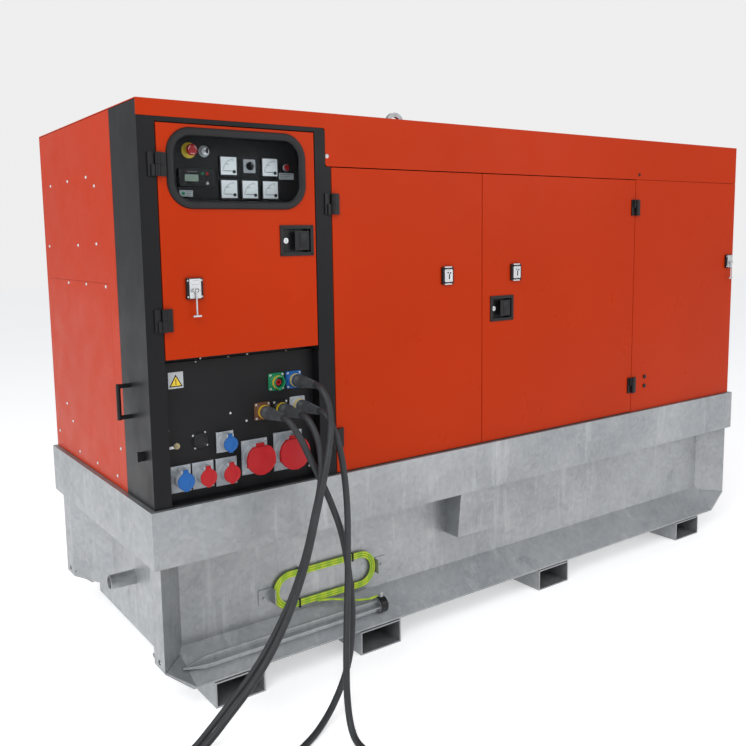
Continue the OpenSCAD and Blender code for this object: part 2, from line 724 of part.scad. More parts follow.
module moving_hinge(x, z, side) translate([x, 0, z]) difference() {
    union() {
        block(side > 0 ? [knuckle_r + 1, leaf_w] : [-leaf_w, -knuckle_r - 1], [-leaf_t, 0],
              [-hinge_h / 2, hinge_h / 2]);
        rod_z(0, -pin_out, [0, hinge_h / 2], knuckle_r);
        block(side > 0 ? [0, leaf_w - 10] : [-leaf_w + 10, 0], [-pin_out, -3], [0, hinge_h / 2]);
        block(side > 0 ? [3, knuckle_r + 4] : [-knuckle_r - 4, -3], [-4, 0], [0, hinge_h / 2]);
    }
    rod_z(0, -pin_out, [-1, hinge_h / 2 - 3], pin_r + pin_clear);
}

module catch(x) {
    block([x - 30, x + 30], [-catch_out + 4, 0], [catch_z - catch_h / 2, catch_z + catch_h / 2]);
    block([x - 21, x + 21], [-catch_out, -catch_out + 4], [catch_z - 33, catch_z + 33]);
}

// Hook with a T bar, hanging from a pin across the catch's ears
hook_pin_z = catch_z - 6;
hook_pin_y = -catch_out - 7;
hook_l = 88;

module hook_ears(x) difference() {
    for (s = [-1, 1])
        block([x + s * 9 - 2, x + s * 9 + 2], [hook_pin_y - 5, -catch_out], [hook_pin_z - 5, hook_pin_z + 6]);
    rod_x([x - 7 - eps, x + 7 + eps], hook_pin_y, hook_pin_z, 0.1);
}

module hook_pin(x) rod_x([x - 8, x + 8], hook_pin_y, hook_pin_z, 2);

module t_hook(x) {
    difference() {
        rod_x([x - 5, x + 5], hook_pin_y, hook_pin_z, 5);
        rod_x([x - 6, x + 6], hook_pin_y, hook_pin_z, 2 + pin_clear);
    }
    rod_z(x, hook_pin_y, [hook_pin_z - hook_l, hook_pin_z - 4], 3);
    rod_x([x - 15, x + 15], hook_pin_y, hook_pin_z - hook_l, 4);
}

// Recessed paddle latch; the paddle turns on a pin at its right
module latch_housing(x, z) {
    difference() {
        block([x - paddle_w / 2, x + paddle_w / 2], [-4, paddle_deep], [z - paddle_h / 2, z + paddle_h / 2]);
        block([x - paddle_w / 2 - 1, x - paddle_w / 2 + 9], [-eps, paddle_deep + 1],
              [z - paddle_h, z + paddle_h]);
        block([x + paddle_w / 2 - 9, x + paddle_w / 2 + 1], [-eps, paddle_deep + 1],
              [z - paddle_h, z + paddle_h]);
        for (s = [-1, 1])
            block([x - paddle_w, x + paddle_w], [-eps, paddle_deep + 1],
                  [z + s * (paddle_h / 2 - 4.5) - 5, z + s * (paddle_h / 2 - 4.5) + 5]);
        block([x - paddle_w / 2 + 13, x + paddle_w / 2 - 13], [-5, paddle_deep - 3],
              [z - paddle_h / 2 + 13, z + paddle_h / 2 - 13]);
    }
    rod_y(x - paddle_w / 2 + 27, [4, paddle_deep - 3], z, 10);
    rod_z(x + paddle_pin, 4, [z - paddle_h / 2 + 12, z + paddle_h / 2 - 12], 2.5);
}

paddle_pin = paddle_w / 2 - 20;

module paddle(x, z) difference() {
    union() {
        block([x - 8, x + paddle_pin], [-1.5, 2.5], [z - 35, z + 35]);
        rod_z(x + paddle_pin, 4, [z - 35, z + 35], 5.5);
    }
    rod_z(x + paddle_pin, 4, [z - 36, z + 36], 2.5 + pin_clear);
}

// Opening in a door's skin for a latch
module latch_cut(x, z) block([x - paddle_w / 2 + 8.5, x + paddle_w / 2 - 8.5], [-1, sheet_t + 1],
                             [z - paddle_h / 2 + 9, z + paddle_h / 2 - 9]);

module door_shell(x, z) difference() {
    block(x, [0, door_fold], z);
    block([x[0] + 2, x[1] - 2], [sheet_t, door_fold + 1], [z[0] + 2, z[1] - 2]);
}

control_door_x = [post_w + 2, control_x1 - door_gap / 2];
left_door_x = [control_w + 2, seam_mid - door_gap / 2];
right_door_x = [seam_mid + door_gap / 2, seam_right - 2];
control_door_z = [control_z0, control_z1 - door_gap / 2];
service_door_z = [door_z0, door_z1];

module control_door() color(orange) in_frame() difference() {
    door_shell(control_door_x, control_door_z);
    upright([-1, sheet_t + 1]) translate([window_x, window_z])
        rounded(window_w - seal_w, window_h - seal_w, seal_r - seal_w / 2);
    latch_cut(control_paddle_x, control_paddle_z);
}

module window_seal() color(rubber) in_frame() difference() {
    translate([window_x, 0, window_z]) union() {
        upright([-9, -seat]) rounded(window_w, window_h, seal_r);
        upright([-1, sheet_t + 1])
            rounded(window_w - seal_w - 2 * seat, window_h - seal_w - 2 * seat, seal_r - seal_w / 2);
        upright([sheet_t + seat, 9]) rounded(window_w - 12, window_h - 12, seal_r - 6);
    }
    translate([window_x, 0, window_z]) {
        upright([-10, 10]) rounded(window_w - 2 * seal_w, window_h - 2 * seal_w, seal_r - seal_w);
        upright([-2 - seat, 2 + seat])
            rounded(window_w - 2 * seal_w + 12, window_h - 2 * seal_w + 12, seal_r - seal_w + 6);
    }
}

module window_pane() color([0.7, 0.75, 0.78, 0.3]) in_frame() translate([window_x, 0, window_z])
    upright([-2, 2]) rounded(window_w - 2 * seal_w + 12 - 2 * seat, window_h - 2 * seal_w + 12 - 2 * seat,
                             seal_r - seal_w + 6 - seat);

module control_door_fittings() color(black) in_frame() {
    for (z = control_hinge_z) moving_hinge(post_w, z, 1);
    latch_housing(control_paddle_x, control_paddle_z);
    catch(control_catch_x);
    hook_ears(control_catch_x);
    hook_pin(control_catch_x);
}

module control_paddle() color(black) in_frame() paddle(control_paddle_x, control_paddle_z);

module door_hook() color(chrome) in_frame() t_hook(control_catch_x);

module panel_hook() color(chrome) in_frame() t_hook(panel_catch_x);

module left_door() color(orange) in_frame() door_shell(left_door_x, service_door_z);

module left_door_fittings() color(black) in_frame() {
    for (z = service_hinge_z) moving_hinge(control_w, z, 1);
    catch(left_catch_x);
}

module right_door() color(orange) in_frame() difference() {
    door_shell(right_door_x, service_door_z);
    latch_cut(right_paddle_x, right_paddle_z);
}

module right_door_fittings() color(black) in_frame() {
    for (z = service_hinge_z) moving_hinge(seam_right, z, -1);
    latch_housing(right_paddle_x, right_paddle_z);
    catch(right_catch_x);
}

module right_paddle() color(black) in_frame() paddle(right_paddle_x, right_paddle_z);

rear_door_x = [rear_x0, rear_x1 - 2];
rear_paddle_x = rear_x0 + 48 + paddle_w / 2;

module rear_door() color(orange) in_frame() mirror_back() {
    difference() {
        door_shell(rear_door_x, service_door_z);
        latch_cut(rear_paddle_x, right_paddle_z);
    }
    latch_housing(rear_paddle_x, right_paddle_z);
    for (z = service_hinge_z) moving_hinge(rear_x1, z, -1);
}

module rear_paddle() color(black) in_frame() mirror_back() paddle(rear_paddle_x, right_paddle_z);

handle_y = 185;
handle_z = base_h + 358;
handle_h = 128;
handle_out = 42;

module canopy_fittings() color(black) in_frame() {
    for (z = control_hinge_z) fixed_hinge(post_w, z, 1);
    for (z = service_hinge_z) {
        fixed_hinge(control_w, z, 1);
        fixed_hinge(seam_right, z, -1);
        mirror_back() fixed_hinge(rear_x1, z, -1);
    }
    catch(panel_catch_x);
    hook_ears(panel_catch_x);
    hook_pin(panel_catch_x);
    // Blanking plugs in the fixed front panel
    for (z = [128, 176]) rod_y(seam_right + 107, [-6, 0], base_h + z, 10);
    // Pull handle of the end cover
    for (s = [-1, 1]) rod_x([-handle_out, 0], handle_y, handle_z + s * (handle_h / 2 - 8), 8);
    rod_z(-handle_out, handle_y, [handle_z - handle_h / 2, handle_z + handle_h / 2], 8);
}

isolator_y = 80;
isolator_z = base_h + 178;

module isolator_knob() color(black) in_frame() {
    rod_x([-14, -seat], isolator_y, isolator_z, 17);
    block([-24, -14], [isolator_y - 5, isolator_y + 5], [isolator_z - 17, isolator_z + 17]);
}

// ---- Instrument panel ----
iy = instr_recess;
meters = [[366, 1181], [534, 1181], [366, 1099], [450, 1099], [534, 1099]];
stop_at = [218, 1229];
key_at = [275, 1228];
selector_at = [452, 1183];
controller_x = [173, 305];
controller_z = [1105, 1166];

module instrument_panel() color([0.2, 0.2, 0.21]) in_frame() {
    x = [post_w + 12, control_x1 - 18];
    z = [control_z0 - 8, control_z1 - 14];
    difference() {
        block(x, [iy, iy + 3], z);
        rod_y(stop_at[0], [iy - 1, iy + 4], base_h + stop_at[1], 11 + seat);
        rod_y(key_at[0], [iy - 1, iy + 4], base_h + key_at[1], 11 + seat);
        rod_y(selector_at[0], [iy - 1, iy + 4], base_h + selector_at[1], 5 + seat);
    }
    // Cubicle behind the panel, on the bulkhead
    block([x[0], x[0] + 3], [iy + 3, 420], z);
    block([x[1] - 3, x[1]], [iy + 3, 420], z);
    block(x, [420, 423], z);
    block([x[1], control_w - 12 - tube_w - seat], [300, 340], [z[0] + 100, z[0] + 140]);
    block([in_t + tube_w + seat, x[0]], [iy + 3, iy + 6], [control_z0 + 40, control_z1 - 60]);
}

module panel_instruments() color("white") in_frame() {
    for (m = meters)
        block([m[0] - meter_w / 2, m[0] + meter_w / 2], [iy - 8, iy],
              [base_h + m[1] - meter_w / 2, base_h + m[1] + meter_w / 2]);
    block(controller_x, [iy - 12, iy], [base_h + controller_z[0], base_h + controller_z[1]]);
    block([177, 226], [iy - 5, iy], [base_h + 1070, base_h + 1092]);
    block([selector_at[0] - 24, selector_at[0] + 24], [iy - 3, iy],
          [base_h + selector_at[1] - 24, base_h + selector_at[1] + 24]);
    rod_y(606, [iy - 12, iy], base_h + 1183, 12);
    block([575, 638], [iy - 2, iy], [base_h + 1139, base_h + 1163]);
}

module emergency_stop() color("red") in_frame() {
    rod_y(stop_at[0], [iy - 34, iy - 22], base_h + stop_at[1], 20);
    rod_y(stop_at[0], [iy - 22, iy + 30], base_h + stop_at[1], 11);
}

module key_switch() color(chrome) in_frame() {
    rod_y(key_at[0], [iy - 14, iy - seat], base_h + key_at[1], 15);
    rod_y(key_at[0], [iy - 14, iy + 28], base_h + key_at[1], 11);
    block([key_at[0] - 2, key_at[0] + 2], [iy - 34, iy - 14], [base_h + key_at[1] - 9, base_h + key_at[1] + 9]);
}

module selector_knob() color(black) in_frame() {
    rod_y(selector_at[0], [iy - 12, iy - 3 - seat], base_h + selector_at[1], 15);
    block([selector_at[0] - 4, selector_at[0] + 4], [iy - 22, iy - 12],
          [base_h + selector_at[1] - 15, base_h + selector_at[1] + 15]);
}

// ---- Socket panel ----
sy = socket_recess;

module socket_panel() color(black) in_frame() difference() {
    block([post_w + 1 + seat, control_x1 - 1 - seat], [sy, sy + 3], [base_h + 2, control_z0 - 21]);
    for (s = sockets) rod_y(s[0], [sy - 1, sy + 4], base_h + s[1], s[4] - 6);
    for (c = [conn_n, conn_pe, conn_l1, conn_l2, conn_l3]) rod_y(c[0], [sy - 1, sy + 4], base_h + c[1], 15);
}

function lid_pin_z(s) = base_h + s[1] + s[4] + lid_pin_up;
lid_pin_y = sy - socket_flange_t - sleeve_l + 3;

module socket_body(s) {
    z = base_h + s[1];
    y0 = sy - socket_flange_t - sleeve_l;
    ear_x = s[4] * 0.42;
    difference() {
        union() {
            block([s[0] - s[2] / 2, s[0] + s[2] / 2], [sy - socket_flange_t, sy], [z - s[3] / 2, z + s[3] / 2]);
            rod_y(s[0], [y0, sy - socket_flange_t], z, s[4]);
        }
        rod_y(s[0], [y0 - 1, y0 + socket_deep], z, s[4] - socket_wall);
    }
    for (k = [-1, 1])
        block([s[0] + k * ear_x - lid_ear_t / 2, s[0] + k * ear_x + lid_ear_t / 2],
              [lid_pin_y - 3, sy - socket_flange_t], [z + s[4] * 0.88, lid_pin_z(s) + 4]);
    rod_x([s[0] - ear_x, s[0] + ear_x], lid_pin_y, lid_pin_z(s), lid_pin_r);
}

module socket_bodies() color([0.6, 0.62, 0.65]) in_frame() {
    for (s = sockets) socket_body(s);
    // Round four-screw control socket and brass earth terminal
    rod_y(197, [sy - 7, sy], base_h + 211, 27);
    rod_y(107, [sy - 16, sy], base_h + 204, 6);
    rod_y(107, [sy - 6, sy], base_h + 204, 11);
}

module lid(s) color(s[0] < 150 || s[1] > 150 ? [0.1, 0.3, 0.65] : [0.75, 0.08, 0.1]) in_frame() {
    z = base_h + s[1];
    y1 = sy - socket_flange_t - sleeve_l - seat;
    tab = s[4] * 0.42 - lid_ear_t / 2 - seat;
    rod_y(s[0], [y1 - lid_t, y1], z, s[4] + 2);
    difference() {
        union() {
            block([s[0] - tab, s[0] + tab], [y1 - lid_t, lid_pin_y], [z + s[4] * 0.8, lid_pin_z(s)]);
            rod_x([s[0] - tab, s[0] + tab], lid_pin_y, lid_pin_z(s), lid_pin_r + 2.5);
        }
        block([s[0] - tab - 1, s[0] + tab + 1], [y1, lid_pin_y + 9], [z, z + s[4] + seat]);
        rod_x([s[0] - tab - 1, s[0] + tab + 1], lid_pin_y, lid_pin_z(s), lid_pin_r + pin_clear);
    }
}

module lid_blue_16() lid(blue_16);
module lid_red_16() lid(red_16);
module lid_red_32() lid(red_32);
module lid_blue_small() lid(blue_small);
module lid_red_63() lid(red_63);
module lid_red_125() lid(red_125);

module power_connector(c) {
    z = base_h + c[1];
    difference() {
        union() {
            block([c[0] - conn_w / 2, c[0] + conn_w / 2], [sy - conn_t, sy], [z - conn_w / 2, z + conn_w / 2]);
            rod_y(c[0], [sy - conn_t - conn_out, sy], z, conn_sleeve_r);
        }
        rod_y(c[0], [sy - conn_t - conn_out - 1, sy - 2], z, conn_bore_r);
    }
}

module power_connectors() color([0.35, 0.4, 0.35]) in_frame() {
    for (c = [conn_n, conn_pe, conn_l1, conn_l2, conn_l3]) power_connector(c);
}

// ---- Drive line ----
module engine_block() color([0.25, 0.3, 0.34]) in_frame() {
    x0 = engine_x0;
    x1 = engine_x0 + engine_l;
    y = shaft_y;
    z = shaft_z;
    difference() {
        union() {
            block([x0, x1], [y - 190, y + 190], [z - 110, z + 250]);
            block([x0 + 20, x1 - 20], [y - 150, y + 150], [z + 250, z + 380]);
            block([x0 + 60, x1 - 60], [y - 90, y + 90], [z + 380, z + 450]);
            block([x0 + 40, x1 - 120], [y - 150, y + 150], [z - 250, z - 110]);
            rod_x([x0 - bell_l, x0], y, z, 240);
            block([x1, x1 + 30], [y - 150, y + 150], [z - 110, z + 220]);
        }
        rod_x([x0 - bell_l - 1, x0 - 20], y, z, 205);
        rod_x([x0 - 21, x1 + 31], y, z, shaft_r + run_gap);
        block([x0 + 60, x1 - 60], [y - 150, y + 150], [z - 80, z + 210]);
        block([x0 + 60, x1 - 60], [y - 110, y + 110], [z + 270, z + 360]);
        block([x0 + 80, x1 - 160], [y - 130, y + 130], [z - 235, z - 125]);
    }
    // Manifolds, turbocharger and filters
    rod_x([x0 + 80, x1 - 120], y - 186, z + 290, 38);
    rod_x([x0 + 80, x1 - 120], y + 200, z + 290, 42);
    rod_x([x0 + 360, x0 + 520], y + 250, z + 340, 75);
    for (x = [x0 + 620, x0 + 740]) rod_z(x, y - 240, [z - 90, z + 110], 48);
    for (x = [x0 + 620, x0 + 740]) block([x - 30, x + 30], [y - 215, y - 188], [z + 60, z + 110]);
    // Feet on the rubber mounts
    for (x = [x0 + 60, x1 - 150], s = [-1, 1])
        block([x, x + 90], s < 0 ? [y - rail_y - 40, y - 150] : [y + 150, y + rail_y + 40],
              [rail_z1 + mount_h, rail_z1 + mount_h + 20]);
    for (x = [x0 + 60, x1 - 150], s = [-1, 1])
        block([x, x + 90], s < 0 ? [y - 200, y - 150] : [y + 150, y + 200], [rail_z1 + mount_h, z - 60]);
}

module crankshaft() color(chrome) in_frame() {
    rod_x([alt_x0 + 30, fan_x + 40], shaft_y, shaft_z, shaft_r);
    rod_x([alt_x0 + 110, alt_x0 + alt_l - 90], shaft_y, shaft_z, rotor_r);
    rod_x([engine_x0 - 90, engine_x0 - 50], shaft_y, shaft_z, 198);
    rod_x([fan_x, fan_x + 40], shaft_y, shaft_z, 80);
    for (a = [0:45:315])
        translate([fan_x + 20, shaft_y, shaft_z]) rotate([a, 0, 0]) translate([0, 0, 70])
            rotate([0, 0, 32]) translate([-3, -55, 0]) cube([6, 110, fan_r - 70]);
}

module alternator() color([0.2, 0.22, 0.25]) in_frame() {
    x = [alt_x0, alt_x0 + alt_l];
    difference() {
        union() {
            rod_x(x, shaft_y, shaft_z, alt_r);
            block([x[0] + 60, x[1] - 120], [shaft_y - 180, shaft_y + 180], [shaft_z + 150, shaft_z + 370]);
        }
        rod_x([x[0] + 50, x[1] + 1], shaft_y, shaft_z, rotor_r + 6);
        rod_x([x[0] - 1, x[0] + 51], shaft_y, shaft_z, shaft_r + run_gap);
    }
    for (s = [-1, 1])
        block([x[0] + 200, x[0] + 340], s < 0 ? [shaft_y - rail_y - 40, shaft_y - 180] : [shaft_y + 180, shaft_y + rail_y + 40],
              [rail_z1 + mount_h, rail_z1 + mount_h + 20]);
    for (s = [-1, 1])
        block([x[0] + 200, x[0] + 340], s < 0 ? [shaft_y - 215, shaft_y - 180] : [shaft_y + 180, shaft_y + 215],
              [rail_z1 + mount_h, shaft_z - 90]);
}

module radiator() color(black) in_frame() {
    y = [140, can_w - 140];
    z = [base_h + 30, base_h + 1180];
    x0 = radiator_x;
    difference() {
        block([x0, x0 + radiator_t], y, z);
        block([x0 + 12, x0 + radiator_t - 12], [y[0] + 12, y[1] - 12], [z[0] + 12, z[1] - 12]);
    }
    // Fan shroud
    difference() {
        block([fan_x - 60, x0], [shaft_y - 380, shaft_y + 380], [shaft_z - 355, shaft_z + 380]);
        block([fan_x - 20, x0 + 1], [shaft_y - 376, shaft_y + 376], [shaft_z - 351, shaft_z + 376]);
        rod_x([fan_x - 61, x0 + 1], shaft_y, shaft_z, fan_r + 14);
    }
    // Feet on the rails
    for (s = [shaft_y - rail_y, shaft_y + rail_y])
        block([x0, x0 + radiator_t], [s - 30, s + 30], [rail_z1, z[0]]);
}

module silencer() color([0.35, 0.34, 0.33]) in_frame() {
    z = top_z - 190;
    y = can_w / 2 + 320;
    difference() {
        union() {
            rod_x([engine_x0 - 340, engine_x0 + 560], y, z, 110);
            rod_x([engine_x0 + 560, exhaust_x + 40], y, z, 40);
            rod_y(exhaust_x, [can_w / 2 - 40, y], z, 40);
            rod_z(exhaust_x, can_w / 2, [z - 45, top_z + 30], exhaust_r);
        }
        rod_x([engine_x0 - 334, engine_x0 + 554], y, z, 104);
        rod_x([engine_x0 + 550, exhaust_x + 36], y, z, 36);
        rod_y(exhaust_x, [can_w / 2, y], z, 36);
        rod_z(exhaust_x, can_w / 2, [z - 41, top_z + 31], exhaust_r - 4);
    }
    // Straps up to the roof frame
    for (x = [engine_x0 - 250, engine_x0 + 460])
        block([x, x + 40], [can_w / 2 + 300, can_w / 2 + 340], [z + 100, top_z - sheet_t - seat]);
}

module battery() color(black) in_frame() {
    block([140, 340], [700, 1040], [base_h + tube_w + 5, base_h + tube_w + 225]);
    for (y = [760, 980]) rod_z(190, y, [base_h + tube_w + 225, base_h + tube_w + 245], 9);
}

module engine_rails() color(black) in_frame() {
    for (y = [shaft_y - rail_y, shaft_y + rail_y])
        square_tube([480, 3180], [y - 40, y + 40], [rail_z1 - 80, rail_z1], 0);
    // Rubber mounts
    for (x = [alt_x0 + 270, engine_x0 + 105, engine_x0 + engine_l - 105], y = [shaft_y - rail_y, shaft_y + rail_y])
        rod_z(x, y, [rail_z1, rail_z1 + mount_h], 32);
    // Tray of the battery
    block([in_t + tube_w, 400], [680, 1060], [base_h + tube_w, base_h + tube_w + 5]);
}

base();
fork_pockets();
fuel_tank();
earth_stake_set();
earth_lead();
canopy_frame();
roof();
front_panel();
rear_panels();
left_end_panel();
right_end_panel();
control_surround();
panel_screws();
lifting_eye();
canopy_fittings();
isolator_knob();
panel_hook();
door_hook();
control_door();
window_seal();
window_pane();
control_door_fittings();
control_paddle();
left_door();
left_door_fittings();
right_door();
right_door_fittings();
right_paddle();
rear_door();
rear_paddle();
instrument_panel();
panel_instruments();
emergency_stop();
key_switch();
selector_knob();
socket_panel();
socket_bodies();
lid_blue_16();
lid_red_16();
lid_red_32();
lid_blue_small();
lid_red_63();
lid_red_125();
power_connectors();
engine_block();
crankshaft();
alternator();
radiator();
silencer();
battery();
engine_rails();
cable_n();
cable_l1();
cable_l2();
cable_l3();
coil_n();
coil_l1();
coil_l2();
coil_l3();
cable_ends();
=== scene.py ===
import bpy, bmesh, math
from mathutils import Vector, Matrix


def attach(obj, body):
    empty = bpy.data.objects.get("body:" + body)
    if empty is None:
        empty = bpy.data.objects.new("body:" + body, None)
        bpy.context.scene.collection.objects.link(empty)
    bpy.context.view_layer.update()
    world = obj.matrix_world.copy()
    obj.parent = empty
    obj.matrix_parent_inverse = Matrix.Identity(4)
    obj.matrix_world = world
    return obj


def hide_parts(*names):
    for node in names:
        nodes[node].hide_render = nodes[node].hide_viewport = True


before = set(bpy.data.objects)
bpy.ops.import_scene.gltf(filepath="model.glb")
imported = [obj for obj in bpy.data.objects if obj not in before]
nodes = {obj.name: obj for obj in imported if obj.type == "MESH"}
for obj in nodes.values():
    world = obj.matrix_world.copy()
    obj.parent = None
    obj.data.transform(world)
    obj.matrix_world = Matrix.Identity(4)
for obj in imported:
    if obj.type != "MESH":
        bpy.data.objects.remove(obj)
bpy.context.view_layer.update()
CANOPY_LENGTH, CANOPY_WIDTH, BASE_HEIGHT = 3460, 1180, 790
FRONT = (0, -1, 0)


def at(x, y, z):
    """A point given in mm from the canopy's front left corner, z above the floor."""
    return Vector((x / 1000 - CANOPY_LENGTH / 2000, y / 1000 - CANOPY_WIDTH / 2000, z / 1000))


def zc(z):
    """Height above the floor of a height given above the base."""
    return z + BASE_HEIGHT


# ---------------------------------------------------------------- materials
def mat(name, build, rough=0.5, metal=0.0, **kw):
    m = bpy.data.materials.new(name)
    m.use_nodes = True
    t = m.node_tree
    b = t.nodes["Principled BSDF"]
    b.inputs["Roughness"].default_value = rough
    b.inputs["Metallic"].default_value = metal
    for k, v in kw.items():
        b.inputs[k.replace("_", " ")].default_value = v
    build(t, b)
    return m


def node(t, kind, **kw):
    n = t.nodes.new("ShaderNode" + kind)
    for k, v in kw.items():
        if k in n.inputs:
            n.inputs[k].default_value = v
        else:
            setattr(n, k, v)
    return n


def coords(t, scale=(1, 1, 1)):
    c = node(t, "TexCoord")
    m = node(t, "Mapping")
    m.inputs["Scale"].default_value = scale
    t.links.new(c.outputs["Object"], m.inputs["Vector"])
    return m.outputs["Vector"]


def noise(t, scale, detail=3, rough=0.55, stretch=(1, 1, 1)):
    n = node(t, "TexNoise", Scale=scale, Detail=detail, Roughness=rough)
    t.links.new(coords(t, stretch), n.inputs["Vector"])
    return n.outputs["Fac"]


def crystals(t, scale):
    n = node(t, "TexVoronoi", Scale=scale)
    t.links.new(coords(t), n.inputs["Vector"])
    return n.outputs["Color"]


def ramp(t, fac, stops):
    r = node(t, "ValToRGB")
    e = r.color_ramp.elements
    while len(e) < len(stops):
        e.new(0.5)
    for i, (p, c) in enumerate(stops):
        e[i].position = p
        e[i].color = (c[0], c[1], c[2], 1) if hasattr(c, "__len__") else (c, c, c, 1)
    t.links.new(fac, r.inputs["Fac"])
    return r.outputs["Color"]


def mix(t, fac, a, b, how="MIX"):
    m = node(t, "MixRGB", blend_type=how)
    for k, v in (("Fac", fac), ("Color1", a), ("Color2", b)):
        if hasattr(v, "links"):
            t.links.new(v, m.inputs[k])
        elif hasattr(v, "__len__"):
            m.inputs[k].default_value = (v[0], v[1], v[2], 1)
        else:
            m.inputs[k].default_value = v if k == "Fac" else (v, v, v, 1)
    return m.outputs["Color"]


def bump(t, b, height, strength, dist=0.001):
    n = node(t, "Bump", Strength=strength, Distance=dist)
    t.links.new(height, n.inputs["Height"])
    t.links.new(n.outputs["Normal"], b.inputs["Normal"])


def paint(color, rough=0.32, spots=0.35):
    def build(t, b):
        big = noise(t, 1.6, 2)
        c = ramp(t, big, [(0.3, [v * 0.93 for v in color]), (0.7, color)])
        dust = ramp(t, noise(t, 60, 6, 0.7, (1, 1, 0.25)), [(0.62, 0), (0.8, 1)])
        c = mix(t, dust, c, [min(1, v * 0.92 + 0.005) for v in color])
        t.links.new(c, b.inputs["Base Color"])
        r = ramp(t, noise(t, 8, 3), [(0.3, rough - 0.05), (0.75, rough + 0.09)])
        t.links.new(r, b.inputs["Roughness"])
        bump(t, b, noise(t, 900, 2), spots, 0.0002)
    return build


def galvanised(t, b):
    cells = crystals(t, 55)
    flakes = ramp(t, cells, [(0.1, (0.25, 0.265, 0.275)), (0.9, (0.38, 0.39, 0.40))])
    cloud = ramp(t, noise(t, 2.2, 6, 0.65, (0.7, 0.7, 1)), [(0.3, (0.23, 0.245, 0.255)), (0.7, (0.43, 0.44, 0.45))])
    c = mix(t, 0.66, flakes, cloud)
    streak = ramp(t, noise(t, 14, 5, 0.7, (1, 1, 0.12)), [(0.55, 0), (0.8, 0.8)])
    c = mix(t, streak, c, (0.50, 0.51, 0.52))
    dark = ramp(t, noise(t, 5, 7, 0.75), [(0.6, 0), (0.74, 0.75)])
    c = mix(t, dark, c, (0.17, 0.18, 0.19))
    t.links.new(c, b.inputs["Base Color"])
    r = ramp(t, noise(t, 26, 4), [(0.3, 0.32), (0.75, 0.55)])
    t.links.new(r, b.inputs["Roughness"])
    bump(t, b, cells, 0.12, 0.0006)


def rubber(color, scale=400):
    def build(t, b):
        c = ramp(t, noise(t, 9, 5, 0.7), [(0.3, [v * 0.75 for v in color]), (0.8, [v * 1.35 for v in color])])
        t.links.new(c, b.inputs["Base Color"])
        bump(t, b, noise(t, scale, 3), 0.35, 0.0004)
    return build


def plastic(color, scale=700):
    def build(t, b):
        c = ramp(t, noise(t, 14, 4), [(0.3, [v * 0.9 for v in color]), (0.8, color)])
        t.links.new(c, b.inputs["Base Color"])
        r = ramp(t, noise(t, 40, 4), [(0.3, 0.3), (0.8, 0.46)])
        t.links.new(r, b.inputs["Roughness"])
        bump(t, b, noise(t, scale, 2), 0.15, 0.0002)
    return build


ORANGE = (0.42, 0.0265, 0.0008)
M = {
    "orange": mat("orange_powder_coat", paint(ORANGE), Specular_IOR_Level=0.08),
    "black": mat("black_powder_coat", paint((0.008, 0.008, 0.009), 0.36, 0.6), Specular_IOR_Level=0.16),
    "galv": mat("galvanised_steel", galvanised, metal=0.7),
    "seal": mat("seal_rubber", rubber((0.01, 0.01, 0.011)), rough=0.5, Specular_IOR_Level=0.3),
    "cable": mat("cable_sheath", rubber((0.028, 0.03, 0.033)), rough=0.5, Specular_IOR_Level=0.3),
    "boot": mat("grey_boot", rubber((0.045, 0.049, 0.054)), rough=0.45, Specular_IOR_Level=0.4),
    "blackp": mat("black_plastic", plastic((0.009, 0.009, 0.01)), rough=0.35, Specular_IOR_Level=0.25),
    "greyp": mat("grey_plastic", plastic((0.38, 0.41, 0.44)), rough=0.35, Specular_IOR_Level=0.3),
    "redp": mat("red_plastic", plastic((0.40, 0.008, 0.012)), rough=0.35, Specular_IOR_Level=0.25),
    "bluep": mat("blue_plastic", plastic((0.010, 0.10, 0.34)), rough=0.35, Specular_IOR_Level=0.25),
    "greenp": mat("green_plastic", plastic((0.01, 0.19, 0.08)), rough=0.35, Specular_IOR_Level=0.25),
    "brownp": mat("brown_plastic", plastic((0.12, 0.05, 0.025)), rough=0.35, Specular_IOR_Level=0.25),
    "yellow": mat("yellow_plastic", plastic((0.78, 0.55, 0.02)), rough=0.35),
    "white": mat("white_dial", plastic((0.78, 0.8, 0.8)), rough=0.3),
    "chrome": mat("bright_zinc", plastic((0.62, 0.63, 0.64), 300), rough=0.25, metal=0.9),
    "dark": mat("dark_panel", paint((0.011, 0.011, 0.012), 0.5, 0.5), Specular_IOR_Level=0.16),
    "iron": mat("painted_casting", rubber((0.1, 0.14, 0.17), 90), rough=0.5),
    "alloy": mat("radiator_fins", rubber((0.12, 0.12, 0.125), 200), rough=0.45, metal=0.5),
    "screen": mat("lcd_screen", plastic((0.2, 0.26, 0.2)), rough=0.15),
    "light": mat("light_label", plastic((0.42, 0.44, 0.45)), rough=0.4),
    # this material's light colour is a painted highlight, used only on the band's top edge
    "zinc": mat("painted_highlight_edge", plastic((0.74, 0.77, 0.8), 300), rough=0.3, metal=0.5),
    "brass": mat("brass", plastic((0.5, 0.37, 0.12), 300), rough=0.3, metal=0.9),
    "exhaust": mat("exhaust_steel", rubber((0.3, 0.27, 0.25), 120), rough=0.45, metal=0.8),
}


def glass_build(t, b):
    b.inputs["Base Color"].default_value = (0.9, 0.94, 0.96, 1)
    b.inputs["Transmission Weight"].default_value = 1.0
    r = ramp(t, noise(t, 3, 4), [(0.3, 0.0), (0.8, 0.03)])
    t.links.new(r, b.inputs["Roughness"])


M["glass"] = mat("window_glass", glass_build, rough=0.0, IOR=1.06)


def earth_build(t, b):
    w = node(t, "TexWave", Scale=6, Distortion=0.5)
    t.links.new(coords(t, (1, 1, 1)), w.inputs["Vector"])
    c = ramp(t, w.outputs["Fac"], [(0.3, (0.40, 0.52, 0.02)), (0.7, (0.27, 0.43, 0.02))])
    t.links.new(c, b.inputs["Base Color"])
    bump(t, b, noise(t, 300, 3), 0.2, 0.0003)


M["earth"] = mat("earth_sheath", earth_build, rough=0.4)

